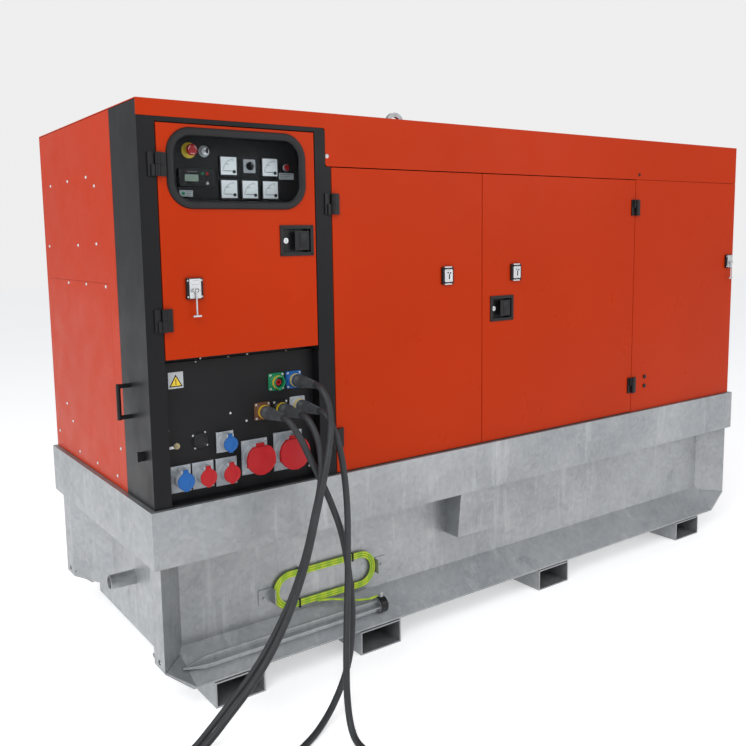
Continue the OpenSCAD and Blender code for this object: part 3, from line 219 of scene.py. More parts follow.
dress = {
    "galv": "base fork_pockets earth_stake_set lifting_eye",
    "orange": "roof front_panel rear_panels left_end_panel right_end_panel control_door left_door right_door rear_door",
    "black": "canopy_frame control_surround fuel_tank engine_rails",
    "blackp": "canopy_fittings isolator_knob control_door_fittings left_door_fittings right_door_fittings"
              " control_paddle right_paddle rear_paddle selector_knob battery",
    "chrome": "panel_screws panel_hook door_hook key_switch crankshaft",
    "seal": "window_seal", "glass": "window_pane", "dark": "instrument_panel socket_panel",
    "white": "panel_instruments", "redp": "emergency_stop lid_red_16 lid_red_32 lid_red_63 lid_red_125",
    "greyp": "socket_bodies power_connectors", "bluep": "lid_blue_16 lid_blue_small",
    "iron": "engine_block alternator", "alloy": "radiator", "exhaust": "silencer", "earth": "earth_lead",
    "cable": "cable_n cable_l1 cable_l2 cable_l3 coil_n coil_l1 coil_l2 coil_l3 cable_ends",
}
for key, names in dress.items():
    for n in names.split():
        o = nodes[n]
        for s in o.material_slots:
            s.material = M[key]

# ---------------------------------------------------------------- camera
cam = bpy.data.objects.new("camera", bpy.data.cameras.new("camera"))
bpy.context.scene.collection.objects.link(cam)
cam.location = (-2.721, -3.2366, 1.7033)
cam.rotation_euler = [math.radians(a) for a in (82.9045, 0.9663, -34.9341)]
cam.data.lens = 39.954
cam.data.shift_x = 0.02302
cam.data.shift_y = -0.04126
bpy.context.scene.camera = cam


# ---------------------------------------------------------------- mesh helpers
def finish_piece(name, bm, keys, body="skid", replace=()):
    """Make the object of a piece, with its finishes, and say what it rides on and stands for."""
    me = bpy.data.meshes.new(name)
    bm.normal_update()
    bmesh.ops.recalc_face_normals(bm, faces=bm.faces)
    bm.to_mesh(me)
    bm.free()
    o = bpy.data.objects.new(name, me)
    bpy.context.scene.collection.objects.link(o)
    for key in keys:
        me.materials.append(M[key])
    for p in me.polygons:
        p.use_smooth = True
    me.set_sharp_from_angle(angle=math.radians(35))
    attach(o, body)
    if replace:
        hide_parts(*replace)
    return o


def tube_bm(path, r, sides=16):
    """Closed tube along the points of a path."""
    bm = bmesh.new()
    n = len(path)
    tan = [(path[min(i + 1, n - 1)] - path[max(i - 1, 0)]).normalized() for i in range(n)]
    side = tan[0].cross(Vector((0, 0, 1))).normalized()
    rings = []
    for p, t in zip(path, tan):
        side = (side - t * side.dot(t)).normalized()
        up = t.cross(side)
        rings.append([bm.verts.new(p + r * (math.cos(a) * side + math.sin(a) * up))
                      for a in [math.tau * k / sides for k in range(sides)]])
    for a, b in zip(rings, rings[1:]):
        for k in range(sides):
            q = (k + 1) % sides
            bm.faces.new((a[k], a[q], b[q], b[k]))
    bm.faces.new(list(reversed(rings[0])))
    bm.faces.new(rings[-1])
    return bm


def smooth_path(pts, per=4):
    """Catmull-Rom curve through the points."""
    out = []
    n = len(pts)
    for i in range(n - 1):
        p0, p1, p2, p3 = pts[max(i - 1, 0)], pts[i], pts[i + 1], pts[min(i + 2, n - 1)]
        for k in range(per):
            t = k / per
            out.append(0.5 * ((2 * p1) + (p2 - p0) * t + (2 * p0 - 5 * p1 + 4 * p2 - p3) * t * t
                              + (3 * p1 - p0 - 3 * p2 + p3) * t ** 3))
    out.append(pts[-1].copy())
    return out


# ---------------------------------------------------------------- power cables
CABLE_D = 24.0
FLOOR = 12.5          # height of a cable's middle when it lies on the floor
PLUG_END = -115.3
ROUTES = {
    "n": [(587, PLUG_END, 1178), (587, -128, 1178), (588, -155, 1167), (592, -180, 1138), (594, -197, 1095),
          (588, -210, 1040), (572, -225, 980), (547, -240, 910), (520, -249, 830), (493, -252, 740),
          (452, -253, 600), (398, -254, 465), (335, -255, 350), (268, -256, 258), (200, -256, 186),
          (127, -256, 122), (62, -255, 66), (0, -253, 26), (-60, -252, FLOOR)],
    "l2": [(525, PLUG_END, 1074), (525, -128, 1074), (528, -150, 1065), (533, -172, 1043), (539, -192, 1005),
           (545, -205, 950), (543, -213, 885), (530, -217, 815), (508, -219, 740), (466, -220, 600),
           (412, -220, 470), (352, -220, 368), (290, -220, 282), (220, -220, 206), (143, -220, 138),
           (73, -220, 78), (12, -220, 32), (-50, -220, 13), (-150, -220, FLOOR), (-260, -225, FLOOR),
           (-340, -231, FLOOR), (-410, -235, FLOOR)],
    "l1": [(449, PLUG_END, 1074), (449, -128, 1074), (453, -150, 1065), (462, -171, 1040), (480, -186, 1000),
           (505, -188, 945), (538, -186, 880), (572, -184, 810), (604, -184, 735), (636, -188, 640),
           (654, -198, 530), (660, -212, 415), (652, -232, 315), (619, -262, 200), (567, -292, 122),
           (492, -326, 56), (410, -362, 18), (330, -402, FLOOR), (255, -438, FLOOR), (195, -476, FLOOR)],
    "l3": [(601, PLUG_END, 1079), (601, -128, 1079), (604, -150, 1070), (611, -172, 1047), (620, -190, 1008),
           (632, -199, 950), (643, -205, 870), (648, -212, 780), (645, -222, 685), (634, -236, 580),
           (614, -262, 480), (582, -300, 370), (548, -343, 255), (519, -384, 150), (501, -422, 72),
           (490, -462, 27), (484, -510, FLOOR), (482, -580, FLOOR), (482, -680, FLOOR), (482, -780, FLOOR),
           (482, -850, FLOOR), (482, -905, FLOOR)],
}
COILS = {"n": (-60, -433), "l2": (-410, -416), "l1": (291.8, -629), "l3": (663, -905)}
OUTER_TURN, INNER_TURN = 156.25, 131.75
LUG_X, LUG_Y = 40.0, -(math.sqrt(119.2 ** 2 - 40 ** 2) - 13)
LUG_Z = 13.5
COIL_STEP, COIL_SWEEP = 5, 710      # degrees


def lug_turn(start):
    """Angle by which a coil's lug is turned from the bottom of its coil."""
    return start - 10 - math.degrees(math.atan2(LUG_Y, -LUG_X)) % 360


def ease(start, end, low, high, a):
    """Radius at an angle that goes smoothly from low to high."""
    f = min(1, max(0, (a - start) / (end - start)))
    f = f * f * (3 - 2 * f)
    return low + (high - low) * f


def cable_path(k):
    """Points of one cable, from its plug to its lug, with its coil's centre and the lug's turn."""
    path = smooth_path([at(*p) for p in ROUTES[k]])
    c = Vector(COILS[k])
    end = Vector(ROUTES[k][-1][:2]) - c
    a0 = math.degrees(math.atan2(end.y, end.x)) % 360
    lug_r = math.hypot(LUG_X, LUG_Y)
    for a in range(COIL_STEP, COIL_SWEEP + 1, COIL_STEP):
        r = ease(0, 60, end.length, OUTER_TURN, a)
        if a > 330:
            r = ease(360, 420, OUTER_TURN, INNER_TURN, a)
        if a > 600:
            r = ease(615, 722, INNER_TURN, lug_r - 1, a)
        t = math.radians(a0 + a)
        path.append(at(c.x + r * math.cos(t), c.y + r * math.sin(t), FLOOR))
    turn = math.radians(lug_turn(a0))
    p = Matrix.Rotation(turn, 2) @ Vector((-LUG_X + 4, LUG_Y))
    path.append(at(c.x + p.x, c.y + p.y, FLOOR + 0.6))
    for p in path:
        p.z = max(p.z, FLOOR / 1000)
    return path, c, turn


# ---------------------------------------------------------------- modelling helpers, all in mm
def add(bm, part, mi):
    """Put a finished shape into a piece, with its material slot."""
    part.normal_update()
    bmesh.ops.recalc_face_normals(part, faces=part.faces)
    for f in part.faces:
        f.material_index = mi
    me = bpy.data.meshes.new("shape")
    part.to_mesh(me)
    part.free()
    bm.from_mesh(me)
    bpy.data.meshes.remove(me)


def block(x, y, z):
    """A bmesh that holds one box between two corners."""
    part = bmesh.new()
    made = bmesh.ops.create_cube(part, size=1.0)["verts"]
    bmesh.ops.scale(part, vec=[(b - a) / 1000 for a, b in (x, y, z)], verts=made)
    bmesh.ops.translate(part, vec=at(sum(x) / 2, sum(y) / 2, sum(z) / 2), verts=made)
    return part


def soften(part, edges, width, segments=1):
    bmesh.ops.bevel(part, geom=edges, offset=width / 1000, segments=segments, affect="EDGES", profile=0.5,
                    material=-1)


def rbox(bm, x, y, z, bevel=0.0, mi=0, segs=2):
    """Box between two corners, with its edges rounded, put into a piece."""
    part = block(x, y, z)
    if bevel:
        soften(part, list(part.edges), bevel, segs)
    add(bm, part, mi)


def lathe(bm, c, axis, profile, sides=40, mi=0, shape=None):
    """Turned shape: profile holds (radius, distance along the axis)."""
    ax = Vector(axis).normalized()
    u = Vector((0, 0, 1)) if abs(ax.z) < 0.9 else Vector((1, 0, 0))
    w = ax.cross(u)
    c = at(*c)
    part = bmesh.new()
    line = [part.verts.new(c + (u * r + ax * d) / 1000) for r, d in profile]
    geom = line + [part.edges.new(pair) for pair in zip(line, line[1:])]
    bmesh.ops.spin(part, geom=geom, cent=c, axis=ax, angle=math.tau, steps=sides, use_merge=True)
    bmesh.ops.remove_doubles(part, verts=part.verts, dist=0.000001)
    if shape:
        for v in part.verts:
            rel = v.co - c
            along = ax * rel.dot(ax)
            out = rel - along
            if out.length > 0.00001:
                a = math.atan2(out.dot(w), out.dot(u))
                v.co = c + along + out.normalized() * shape(a, out.length * 1000) / 1000
    add(bm, part, mi)


def front_face(part):
    part.normal_update()
    return min(part.faces, key=lambda f: f.normal.y)


def plate(bm, cx, cz, w, h, y0, y1, r=3.0, ch=0.8, mi=0, hole=None):
    """Rounded plate that faces the front: its face is at y0, its back at y1."""
    part = block((cx - w / 2, cx + w / 2), (y0, y1), (cz - h / 2, cz + h / 2))
    soften(part, [e for e in part.edges if abs(e.verts[0].co.y - e.verts[1].co.y) > 0.00001], r, 4)
    soften(part, list(front_face(part).edges), ch)
    if hole:
        face = front_face(part)
        bmesh.ops.inset_region(part, faces=[face], thickness=(hole - ch) / 1000)
        bmesh.ops.inset_region(part, faces=[face], thickness=0.001, depth=-0.002)
    add(bm, part, mi)


def thicken(part, faces, vec):
    """Extrude flat faces by a vector in metres."""
    far = bmesh.ops.extrude_face_region(part, geom=faces)["geom"]
    bmesh.ops.translate(part, vec=vec, verts=[g for g in far if isinstance(g, bmesh.types.BMVert)])


def prism(bm, outline, y0, y1, mi=0):
    """Flat shape with an outline of (x, z), between two depths."""
    part = bmesh.new()
    face = part.faces.new([part.verts.new(at(x, y0, z)) for x, z in outline])
    thicken(part, [face], (0, (y1 - y0) / 1000, 0))
    add(bm, part, mi)


def screw(bm, c, axis, r, mi=0, h=None):
    """Domed screw with a washer and a socket."""
    h = h or 0.62 * r
    lathe(bm, c, axis, [(r, 0), (r, 0.14 * r), (0.86 * r, 0.2 * r), (0.78 * r, 0.24 * r), (0.72 * r, 0.75 * h),
                        (0.52 * r, 0.95 * h), (0.36 * r, h), (0.3 * r, 0.97 * h), (0.28 * r, 0.45 * h),
                        (0, 0.45 * h)], 20, mi)


def corner_screws(bm, x, y, z, dx, dz, r, mi):
    """Four screws round a middle, at the corners of a plate that faces the front."""
    for i in (-1, 1):
        for j in (-1, 1):
            screw(bm, (x + i * dx, y, z + j * dz), FRONT, r, mi)


END_SCREWS = [(y, zc(z)) for y, z in (
    (456, 1125), (549, 1163), (792, 1163), (1040, 1159), (465, 912), (694, 908), (1111, 905), (384, 755), (617, 757),
    (854, 755), (311, 159), (364, 44), (601, 42), (834, 42), (1124, 80), (909, 160), (986, 226))]
FRONT_SCREWS = [(732, 2013), (2600, 2000)]
PADDLE_PLATE_H = 112

# ---------------------------------------------------------------- control panel
PANEL_Y, SOCKET_Y = 90.0, 45.0      # faces of the instrument panel and of the socket panel
bm = bmesh.new()
# slots: 0 black, 1 white, 2 screen, 3 light grey, 4 green, 5 red, 6 bright zinc, 7 yellow
for mx, mz in ((366, 1181), (534, 1181), (366, 1099), (450, 1099), (534, 1099)):
    z = zc(mz)
    plate(bm, mx, z, 71.4, 71.4, PANEL_Y - 8, PANEL_Y, 3.0, 1.0, 0, hole=4.5)
    plate(bm, mx, z, 62.5, 62.5, PANEL_Y - 7.4, PANEL_Y - 5.5, 1.0, 0.2, 1)
    px, pz = mx + 21, z - 20
    lathe(bm, (px, PANEL_Y - 7.4, pz), FRONT, [(6.2, 0), (6.2, 1.6), (5.4, 2.4), (0, 2.6)], 24, 0)
    for k in range(11):
        a = math.radians(94 + 8.2 * k)
        long = 6 if k % 5 == 0 else 3.6
        c, s = math.cos(a), math.sin(a)
        q = [(44 - long, -0.5), (44, -0.5), (44, 0.5), (44 - long, 0.5)]
        prism(bm, [(px + r * c - t * s, pz + r * s + t * c) for r, t in q], PANEL_Y - 7.8, PANEL_Y - 7.3, 0)
    arc = [(px + r * math.cos(a), pz + r * math.sin(a)) for r, seq in ((44.6, range(13)), (44.0, range(12, -1, -1)))
           for a in [math.radians(94 + 6.83 * k) for k in seq]]
    prism(bm, arc, PANEL_Y - 7.8, PANEL_Y - 7.3, 0)
    rbox(bm, (px - 40, px - 6), (PANEL_Y - 8.6, PANEL_Y - 7.9), (pz + 1.4, pz + 3.2), 0, 0)
    rbox(bm, (mx - 12, mx + 2), (PANEL_Y - 7.8, PANEL_Y - 7.3), (z + 5, z + 8), 0, 3)
# Genset controller with its screen and keys
plate(bm, 239, zc(1135.5), 132, 61, PANEL_Y - 12, PANEL_Y, 4.0, 1.6, 0)
plate(bm, 239, zc(1135.5), 122, 52, PANEL_Y - 12.5, PANEL_Y - 11, 2.0, 0.4, 8)
plate(bm, 219.5, zc(1134.5), 57, 29, PANEL_Y - 13.4, PANEL_Y - 12, 1.2, 0.5, 0)
plate(bm, 219.5, zc(1134.5), 50, 23, PANEL_Y - 13.8, PANEL_Y - 13.0, 0.8, 0.2, 2)
for k in range(4):
    lathe(bm, (199 + 14 * k, PANEL_Y - 12.4, zc(1115.5)), FRONT, [(3.6, 0), (3.6, 0.7), (3.0, 1.2), (0, 1.3)], 18, 0)
for dx, dz, mi in ((262, 1150, 4), (279, 1150, 5), (262, 1133, 0), (279, 1133, 0), (262, 1117, 0), (279, 1117, 3)):
    lathe(bm, (dx, PANEL_Y - 12.4, zc(dz)), FRONT, [(5.4, 0), (5.4, 0.8), (4.6, 1.5), (0, 1.6)], 22, mi)
for k in range(5):
    rbox(bm, (199 + 9 * k, 202 + 9 * k), (PANEL_Y - 13.1, PANEL_Y - 12.3), (zc(1155), zc(1156.6)), 0,
         5 if k == 0 else 1)
# Rating label, selector plate, lamp and lamp label
plate(bm, 201.5, zc(1081), 49, 22, PANEL_Y - 5, PANEL_Y, 1.5, 0.4, 3)
lathe(bm, (190, PANEL_Y - 5, zc(1081)), FRONT, [(6.5, 0), (6.5, 0.6), (0, 0.7)], 24, 4)
for k in range(3):
    rbox(bm, (200, 221 - 4 * k), (PANEL_Y - 5.3, PANEL_Y - 4.8), (zc(1086 - 6 * k), zc(1087.4 - 6 * k)), 0, 0)
plate(bm, 452, zc(1183), 48, 48, PANEL_Y - 3, PANEL_Y, 2.0, 0.5, 3)
for k in range(7):
    a = math.radians(-45 + 45 * k)
    c, s = math.cos(a), math.sin(a)
    tick = [(17.5, -0.6), (21, -0.6), (21, 0.6), (17.5, 0.6)]
    prism(bm, [(452 + r * c - t * s, zc(1183) + r * s + t * c) for r, t in tick], PANEL_Y - 3.3, PANEL_Y - 2.9, 0)
lathe(bm, (606, PANEL_Y, zc(1183)), FRONT, [(13.5, 0), (13.5, 3), (12.4, 4.2), (10.8, 4.4)], 36, 6)
lathe(bm, (606, PANEL_Y, zc(1183)), FRONT, [(10.8, 3), (10.6, 8), (8.6, 10.8), (5, 12), (0, 12.4)], 36, 5)
plate(bm, 606.5, zc(1151), 63, 24, PANEL_Y - 2, PANEL_Y, 1.0, 0.4, 3)
for k in range(3):
    rbox(bm, (580, 628 - 9 * k), (PANEL_Y - 2.3, PANEL_Y - 1.8), (zc(1157 - 6.5 * k), zc(1158.5 - 6.5 * k)), 0, 0)
# Escutcheon of the key switch, and the collar of the stop button, on its yellow plate
lathe(bm, (275, PANEL_Y, zc(1228)), FRONT, [(20, 0), (20, 1.4), (18.6, 2.4), (15.6, 2.4), (15.6, 0)], 40, 3)
lathe(bm, (218, PANEL_Y, zc(1229)), FRONT,
      [(27, 0), (27, 1.2), (26, 1.8), (17, 1.8), (17, 7), (15.5, 8), (12.2, 8), (12.2, 1)], 48, 7)
for cx, cz in ((155, 1262), (155, 1075), (645, 1262), (645, 1075)):
    screw(bm, (cx, PANEL_Y, zc(cz)), FRONT, 4.2, 6)
finish_piece("panel_instrument_set", bm,
             ["blackp", "white", "screen", "light", "greenp", "redp", "chrome", "yellow", "dark"],
             "skid", replace=("panel_instruments",))

bm = bmesh.new()
lathe(bm, (218, PANEL_Y + 30, zc(1229)), FRONT,
      [(0, 0), (10.6, 0), (10.6, 52), (13, 53), (19.2, 53.6), (20, 55.5), (20, 58.5), (18.6, 61.5), (15, 63.2),
       (8, 63.9), (0, 64)], 48, 0)
for k in range(3):
    a0 = math.radians(120 * k)
    pts = []
    for r, rng in ((15, range(7)), (13.4, range(6, -1, -1))):
        pts += [(218 + r * math.cos(a0 + 0.18 * q), zc(1229) + r * math.sin(a0 + 0.18 * q)) for q in rng]
    prism(bm, pts, PANEL_Y - 34, PANEL_Y - 32.8, 1)
finish_piece("stop_button", bm, ["redp", "white"], "emergency_stop", replace=("emergency_stop",))

bm = bmesh.new()
lathe(bm, (275, PANEL_Y + 28, zc(1228)), FRONT,
      [(0, 0), (10.8, 0), (10.8, 28.3), (15, 28.3), (15, 39), (14, 41), (11, 42), (10, 41), (0, 41)], 40, 0)
rbox(bm, (273.4, 276.6), (PANEL_Y - 33, PANEL_Y - 12), (zc(1228) - 4.5, zc(1228) + 4.5), 0.6, 0)
rbox(bm, (273.2, 276.8), (PANEL_Y - 34, PANEL_Y - 21), (zc(1228) - 9, zc(1228) + 9), 1.6, 1)
finish_piece("start_key", bm, ["chrome", "blackp"], "key_switch", replace=("key_switch",))

bm = bmesh.new()
lathe(bm, (452, PANEL_Y - 3.3, zc(1183)), FRONT, [(0, 0), (14.6, 0), (15, 1), (14.6, 7), (13.6, 8.7), (0, 8.7)], 40, 0,
      lambda a, r: r * (1 + (0.02 if r > 14 else 0) * math.cos(18 * a)))
rbox(bm, (448, 456), (PANEL_Y - 22, PANEL_Y - 11), (zc(1183) - 15, zc(1183) + 15), 2.2, 0)
rbox(bm, (451.4, 452.6), (PANEL_Y - 22.3, PANEL_Y - 21), (zc(1183) + 4, zc(1183) + 14), 0, 1)
finish_piece("meter_selector", bm, ["blackp", "white"], "selector_knob", replace=("selector_knob",))

# ---------------------------------------------------------------- sockets and their lids
SOCKETS = {"blue_16": (117, 85, 76, 96, 29, "bluep"), "red_16": (202, 85, 82, 97, 29, "redp"),
           "red_32": (294, 82, 84, 102, 30, "redp"), "blue_small": (292, 192, 68, 76, 25, "bluep"),
           "red_63": (411, 118, 107, 129, 47, "redp"), "red_125": (554, 119, 124, 147, 53, "redp")}
bm = bmesh.new()
for key, (sx, sz, w, h, r, col) in SOCKETS.items():
    z = zc(sz)
    plate(bm, sx, z, w, h, SOCKET_Y - 4.6, SOCKET_Y, 3.5, 1.4, 0)
    lathe(bm, (sx, SOCKET_Y - 4.4, z), FRONT, [(r + 5, 0), (r + 4, 3.2), (r + 0.5, 5), (r + 0.2, 6)], 48, 0)
    if r > 40:
        lathe(bm, (sx, SOCKET_Y - 28, z), FRONT, [(r, 0), (r + 2.6, 1), (r + 2.6, 14), (r, 15)], 48, 0,
              lambda a, q: q * (1 + 0.008 * (1 if math.sin(20 * a) > 0 else 0)))
    e = 7.5 if r < 40 else 9
    corner_screws(bm, sx, SOCKET_Y - 4.4, z, w / 2 - e, h / 2 - e, 3.4 if r < 40 else 4.4, 1)
    rbox(bm, (sx - 0.42 * r - 3.5, sx - 0.42 * r - 1), (-4, 4), (z + r * 0.86, z + r + 11), 0.8, 0)
    rbox(bm, (sx + 0.42 * r + 1, sx + 0.42 * r + 3.5), (-4, 4), (z + r * 0.86, z + r + 11), 0.8, 0)
# Black round control socket, brass earth terminal and the panel's own screws
lathe(bm, (197, SOCKET_Y, zc(211)), FRONT,
      [(31, 0), (31, 3), (29.5, 4.2), (27.4, 4.2), (27.4, 8), (26, 9.4), (20, 9.4), (18.5, 7.6), (0, 7.6)], 48, 2)
for a in (45, 135, 225, 315):
    c, s = math.cos(math.radians(a + 8)), math.sin(math.radians(a + 8))
    screw(bm, (197 + 33 * c, SOCKET_Y, zc(211) + 33 * s), FRONT, 4, 1)
lathe(bm, (107, SOCKET_Y, zc(204)), FRONT,
      [(12, 0), (12, 2), (10.5, 2.6), (6.5, 2.6), (6.5, 6), (10.4, 6.4), (10.4, 11), (9, 12), (4.4, 12),
       (4.2, 17.5), (3.2, 18.5), (0, 18.5)], 6, 3)
rbox(bm, (80, 101), (SOCKET_Y - 3.4, SOCKET_Y), (zc(196), zc(205)), 0.8, 1)
screw(bm, (86, SOCKET_Y - 3.2, zc(200)), FRONT, 3.4, 1)
for cx, cz in ((192, 497), (318, 499), (210, 505), (395, 503), (559, 500), (320, 293), (384, 256), (78, 262),
               (78, 40), (650, 40)):
    screw(bm, (cx, SOCKET_Y, zc(cz)), FRONT, 4.6, 1)
# Plain triangular sign
tri = [(90, 414), (140, 414), (115, 457.3)]
plate(bm, 115, zc(437), 56, 58, SOCKET_Y - 0.8, SOCKET_Y, 2, 0.3, 5)
prism(bm, [(x, zc(z)) for x, z in tri], SOCKET_Y - 1.2, SOCKET_Y - 0.5, 2)
prism(bm, [(115 + 0.74 * (x - 115), zc(428.4 + 0.74 * (z - 428.4))) for x, z in tri], SOCKET_Y - 1.6, SOCKET_Y - 0.7, 4)
rbox(bm, (113.6, 116.4), (SOCKET_Y - 1.9, SOCKET_Y - 1.4), (zc(421), zc(440)), 0, 2)
finish_piece("socket_flange_trim", bm, ["greyp", "chrome", "blackp", "brass", "yellow", "light"], "skid")

for key, (sx, sz, w, h, r, col) in SOCKETS.items():
    z = zc(sz)
    y1 = -4.3
    big = r > 40
    R = r + (10.5 if big else 2.5)
    dome = 9 if big else 0
    bm = bmesh.new()

    def grip(a, q, r=r, R=R):
        """Ribbed rim whose top is cut flat below the pin."""
        q *= 1.012 if q > R - 1 and math.sin(14 * a) > 0.2 else 1
        return min(q, (r + 1.5) / math.cos(a)) if math.cos(a) > 0.3 else q

    lathe(bm, (sx, y1, z), FRONT,
          [(0, 0), (R - 1, 0), (R, 0.8), (R, 4.6 + dome), (R - 1.2, 6.0 + dome), (R - 4.5, 6.0 + dome),
           (R - 5.6, 5.0 + dome), (0.5 * R, 4.8 + dome), (0.46 * R, 5.3 + dome), (0, 5.5 + dome)], 64, 0,
          grip if big else None)
    tab = r * 0.42 - 2.6
    rbox(bm, (sx - tab, sx + tab), (y1 - 5.4, y1 - 0.2), (z + r * 0.7, z + r + 4), 1.2, 0)
    lathe(bm, (sx - tab, -1, z + r + 7), (1, 0, 0), [(2.8, 0), (5, 0), (5, 2 * tab), (2.8, 2 * tab)], 24, 0)
    rbox(bm, (sx - tab, sx + tab), (-7.5, -4.5), (z + r + 2, z + r + 9), 0.8, 0)
    if not big:
        rbox(bm, (sx - 8, sx + 8), (y1 - 5.2, y1 - 0.4), (z - R - 3.5, z - R + 4), 1.4, 0)
    else:
        for a in (200, 340):
            c, s = math.cos(math.radians(a)), math.sin(math.radians(a))
            rbox(bm, (sx + (R - 1) * c - 5, sx + (R - 1) * c + 5), (y1 - 12, y1 - 0.5),
                 (z + (R - 1) * s - 6, z + (R - 1) * s + 6), 1.6, 0)
    finish_piece("socket_cover_" + key, bm, [col], "lid_" + key, replace=("lid_" + key,))

# ---------------------------------------------------------------- power connectors, plugs and lugs
CONNECTORS = {"n": (587, 388, "bluep"), "pe": (512, 388, "greenp"), "l1": (449, 284, "brownp"),
        "l2": (525, 284, "blackp"), "l3": (601, 289, "greyp")}
for k, (cx, cz, col) in CONNECTORS.items():
    z = zc(cz)
    bm = bmesh.new()
    plate(bm, cx, z, 66, 66, SOCKET_Y - 6, SOCKET_Y, 6, 1.6, 0)
    lathe(bm, (cx, SOCKET_Y - 5, z), FRONT,
          [(29, 0), (28, 3), (25, 5), (24, 7), (24, 12), (22.6, 12.6), (22.6, 14.4), (24, 15), (24, 19), (22.6, 19.6),
           (22.6, 21.4), (24, 22), (24, 26), (23, 27), (20, 27), (19.2, 26), (19.2, 2), (12, 2), (12, 0)], 40, 0)
    for d in (11.8, 18.8):
        lathe(bm, (cx, SOCKET_Y - 5 - d, z), FRONT,
              [(22.6, 0), (24.8, 0.4), (25, 1.6), (24.8, 2.8), (22.6, 3.2)], 40, 1)
    corner_screws(bm, cx, SOCKET_Y - 6, z, 25.5, 25.5, 4.6, 2)
    if k == "pe":
        lathe(bm, (cx, SOCKET_Y - 7, z), FRONT,
              [(12.5, 0), (12.5, 12), (11.4, 13.5), (6.5, 13.5), (6, 4), (0, 4)], 32, 3)
        rbox(bm, (cx - 6, cx + 6), (14, 34), (z - 30, z - 23), 1.5, 0)
    finish_piece("power_connector_" + k, bm, [col, "yellow", "chrome", "redp"], "skid",
                 replace=("power_connectors",))

PLUG_FACE = 12.7
plugs, lugs = {}, {}
for k in ROUTES:
    cx, cz, col = CONNECTORS[k]
    z = zc(cz)
    bm = bmesh.new()
    prof = [(0, -19.5), (18.5, -19.5), (18.5, 0), (23.5, 0), (24, 1.2), (24, 7)]
    for q in range(5):
        d = 9 + q * 6.5
        prof += [(22.4, d), (22.4, d + 1.6), (24, d + 2.6), (24, d + 5)]
    prof += [(23.4, 44), (21.5, 52), (20, 58)]
    for q in range(8):
        d = 60 + q * 8
        r = 19.6 - q * 0.78
        prof += [(r, d), (r, d + 4.2), (r - 1.7, d + 5), (r - 1.7, d + 7.2)]
    prof += [(13.2, 125), (12.8, 128.0), (12.0, 128.0)]
    lathe(bm, (cx, PLUG_FACE, z), FRONT, prof, 36, 0,
          lambda a, r: r * (1 - 0.02 * (1 if math.cos(6 * a) > 0.6 else 0) * (1 if r > 23 else 0)))
    plugs[k] = finish_piece("plug_" + k, bm, ["boot"], "skid", replace=("cable_ends",))
    path, c, turn = cable_path(k)
    bm = bmesh.new()
    # Turned barrel and flat palm of the lug, laid out along +X, then turned into place
    lathe(bm, (-LUG_X, LUG_Y, LUG_Z), (1, 0, 0),
          [(0, 0.5), (12.05, 0.5), (13, 0), (13, 12), (11.8, 14), (11.8, 20), (13, 22), (13, 30), (11, 37), (7, 42),
           (0, 43)], 28, 0)
    outer = [(5, -8.5), (12, -12.4), (30, -12.4), (37, -9), (39.6, -3), (39.6, 3), (37, 9), (30, 12.4), (12, 12.4),
             (5, 8.5)]
    palm = bmesh.new()
    rim = [palm.verts.new(at(x, LUG_Y + y, 1)) for x, y in outer]
    rim_edges = [palm.edges.new((rim[q - 1], rim[q])) for q in range(len(rim))]
    bolt = bmesh.ops.create_circle(palm, segments=20, radius=0.0065,
                                   matrix=Matrix.Translation(at(25, LUG_Y, 1)))["verts"]
    bolt_edges = list({e for v in bolt for e in v.link_edges})
    ring = bmesh.ops.bridge_loops(palm, edges=rim_edges + bolt_edges)["faces"]
    thicken(palm, ring, (0, 0, 0.0053))
    add(bm, palm, 0)
    origin = at(0, 0, 0)
    rot = Matrix.Rotation(turn, 3, "Z")
    shift = at(c.x, c.y, 0) - origin
    for v in bm.verts:
        v.co = origin + rot @ (v.co - origin) + shift
    lugs[k] = finish_piece("cable_lug_" + k, bm, ["chrome"], "skid", replace=("cable_ends",))

# ---------------------------------------------------------------- screws, band edge, window rubber, stake clamp, catches, sill, locks and cables
bm = bmesh.new()
for y, z in END_SCREWS:
    screw(bm, (0, y, z), (-1, 0, 0), 6.5, 1, 4)
    screw(bm, (3460, y, z), (1, 0, 0), 6.5, 1, 4)
for x, z in FRONT_SCREWS:
    screw(bm, (x, 0, z), FRONT, 8, 1 if x < 1000 else 0, 4)
finish_piece("panel_screw_set", bm, ["blackp", "chrome"], "skid", replace=("panel_screws",))


# Rounded top edge of the bund's band: the bead is the real edge, and its light zinc colour is a painted highlight for
# the sky's light along it
lo, hi = at(-15.4, -15.4, 787.4), at(3475.4, 1195.4, 787.4)
loop = [Vector((x, y, lo.z)) for x, y in ((lo.x + 0.2, lo.y), (hi.x, lo.y), (hi.x, hi.y), (lo.x, hi.y), (lo.x, lo.y))]
path = []
for a, b in zip(loop, loop[1:]):
    path += [a.lerp(b, k / 12) for k in range(12)]
finish_piece("band_top_edge", tube_bm(path + [loop[-1]], 0.0026, 12), ["zinc"], "skid")

# Rubber profile round the window
WINDOW_W, WINDOW_H, WINDOW_R = 539, 272, 90
PROFILE = [(0, -0.3), (0.8, -4), (3.5, -7.4), (9, -9), (17, -9), (23, -7.6), (26.5, -5.2), (28, -2.4), (28, 2.4),
           (26, 6), (20, 9), (8, 9), (6.5, 3.4), (13.7, 3.2), (13.7, -0.2)]


def inside_window(sx, sz, a, inset, y):
    """Point that far inside the window's edge, at an angle round one of its corners."""
    q = WINDOW_R - inset
    return at(365.5 + sx * (WINDOW_W / 2 - WINDOW_R) + q * math.cos(a), y,
              1950 + sz * (WINDOW_H / 2 - WINDOW_R) + q * math.sin(a))


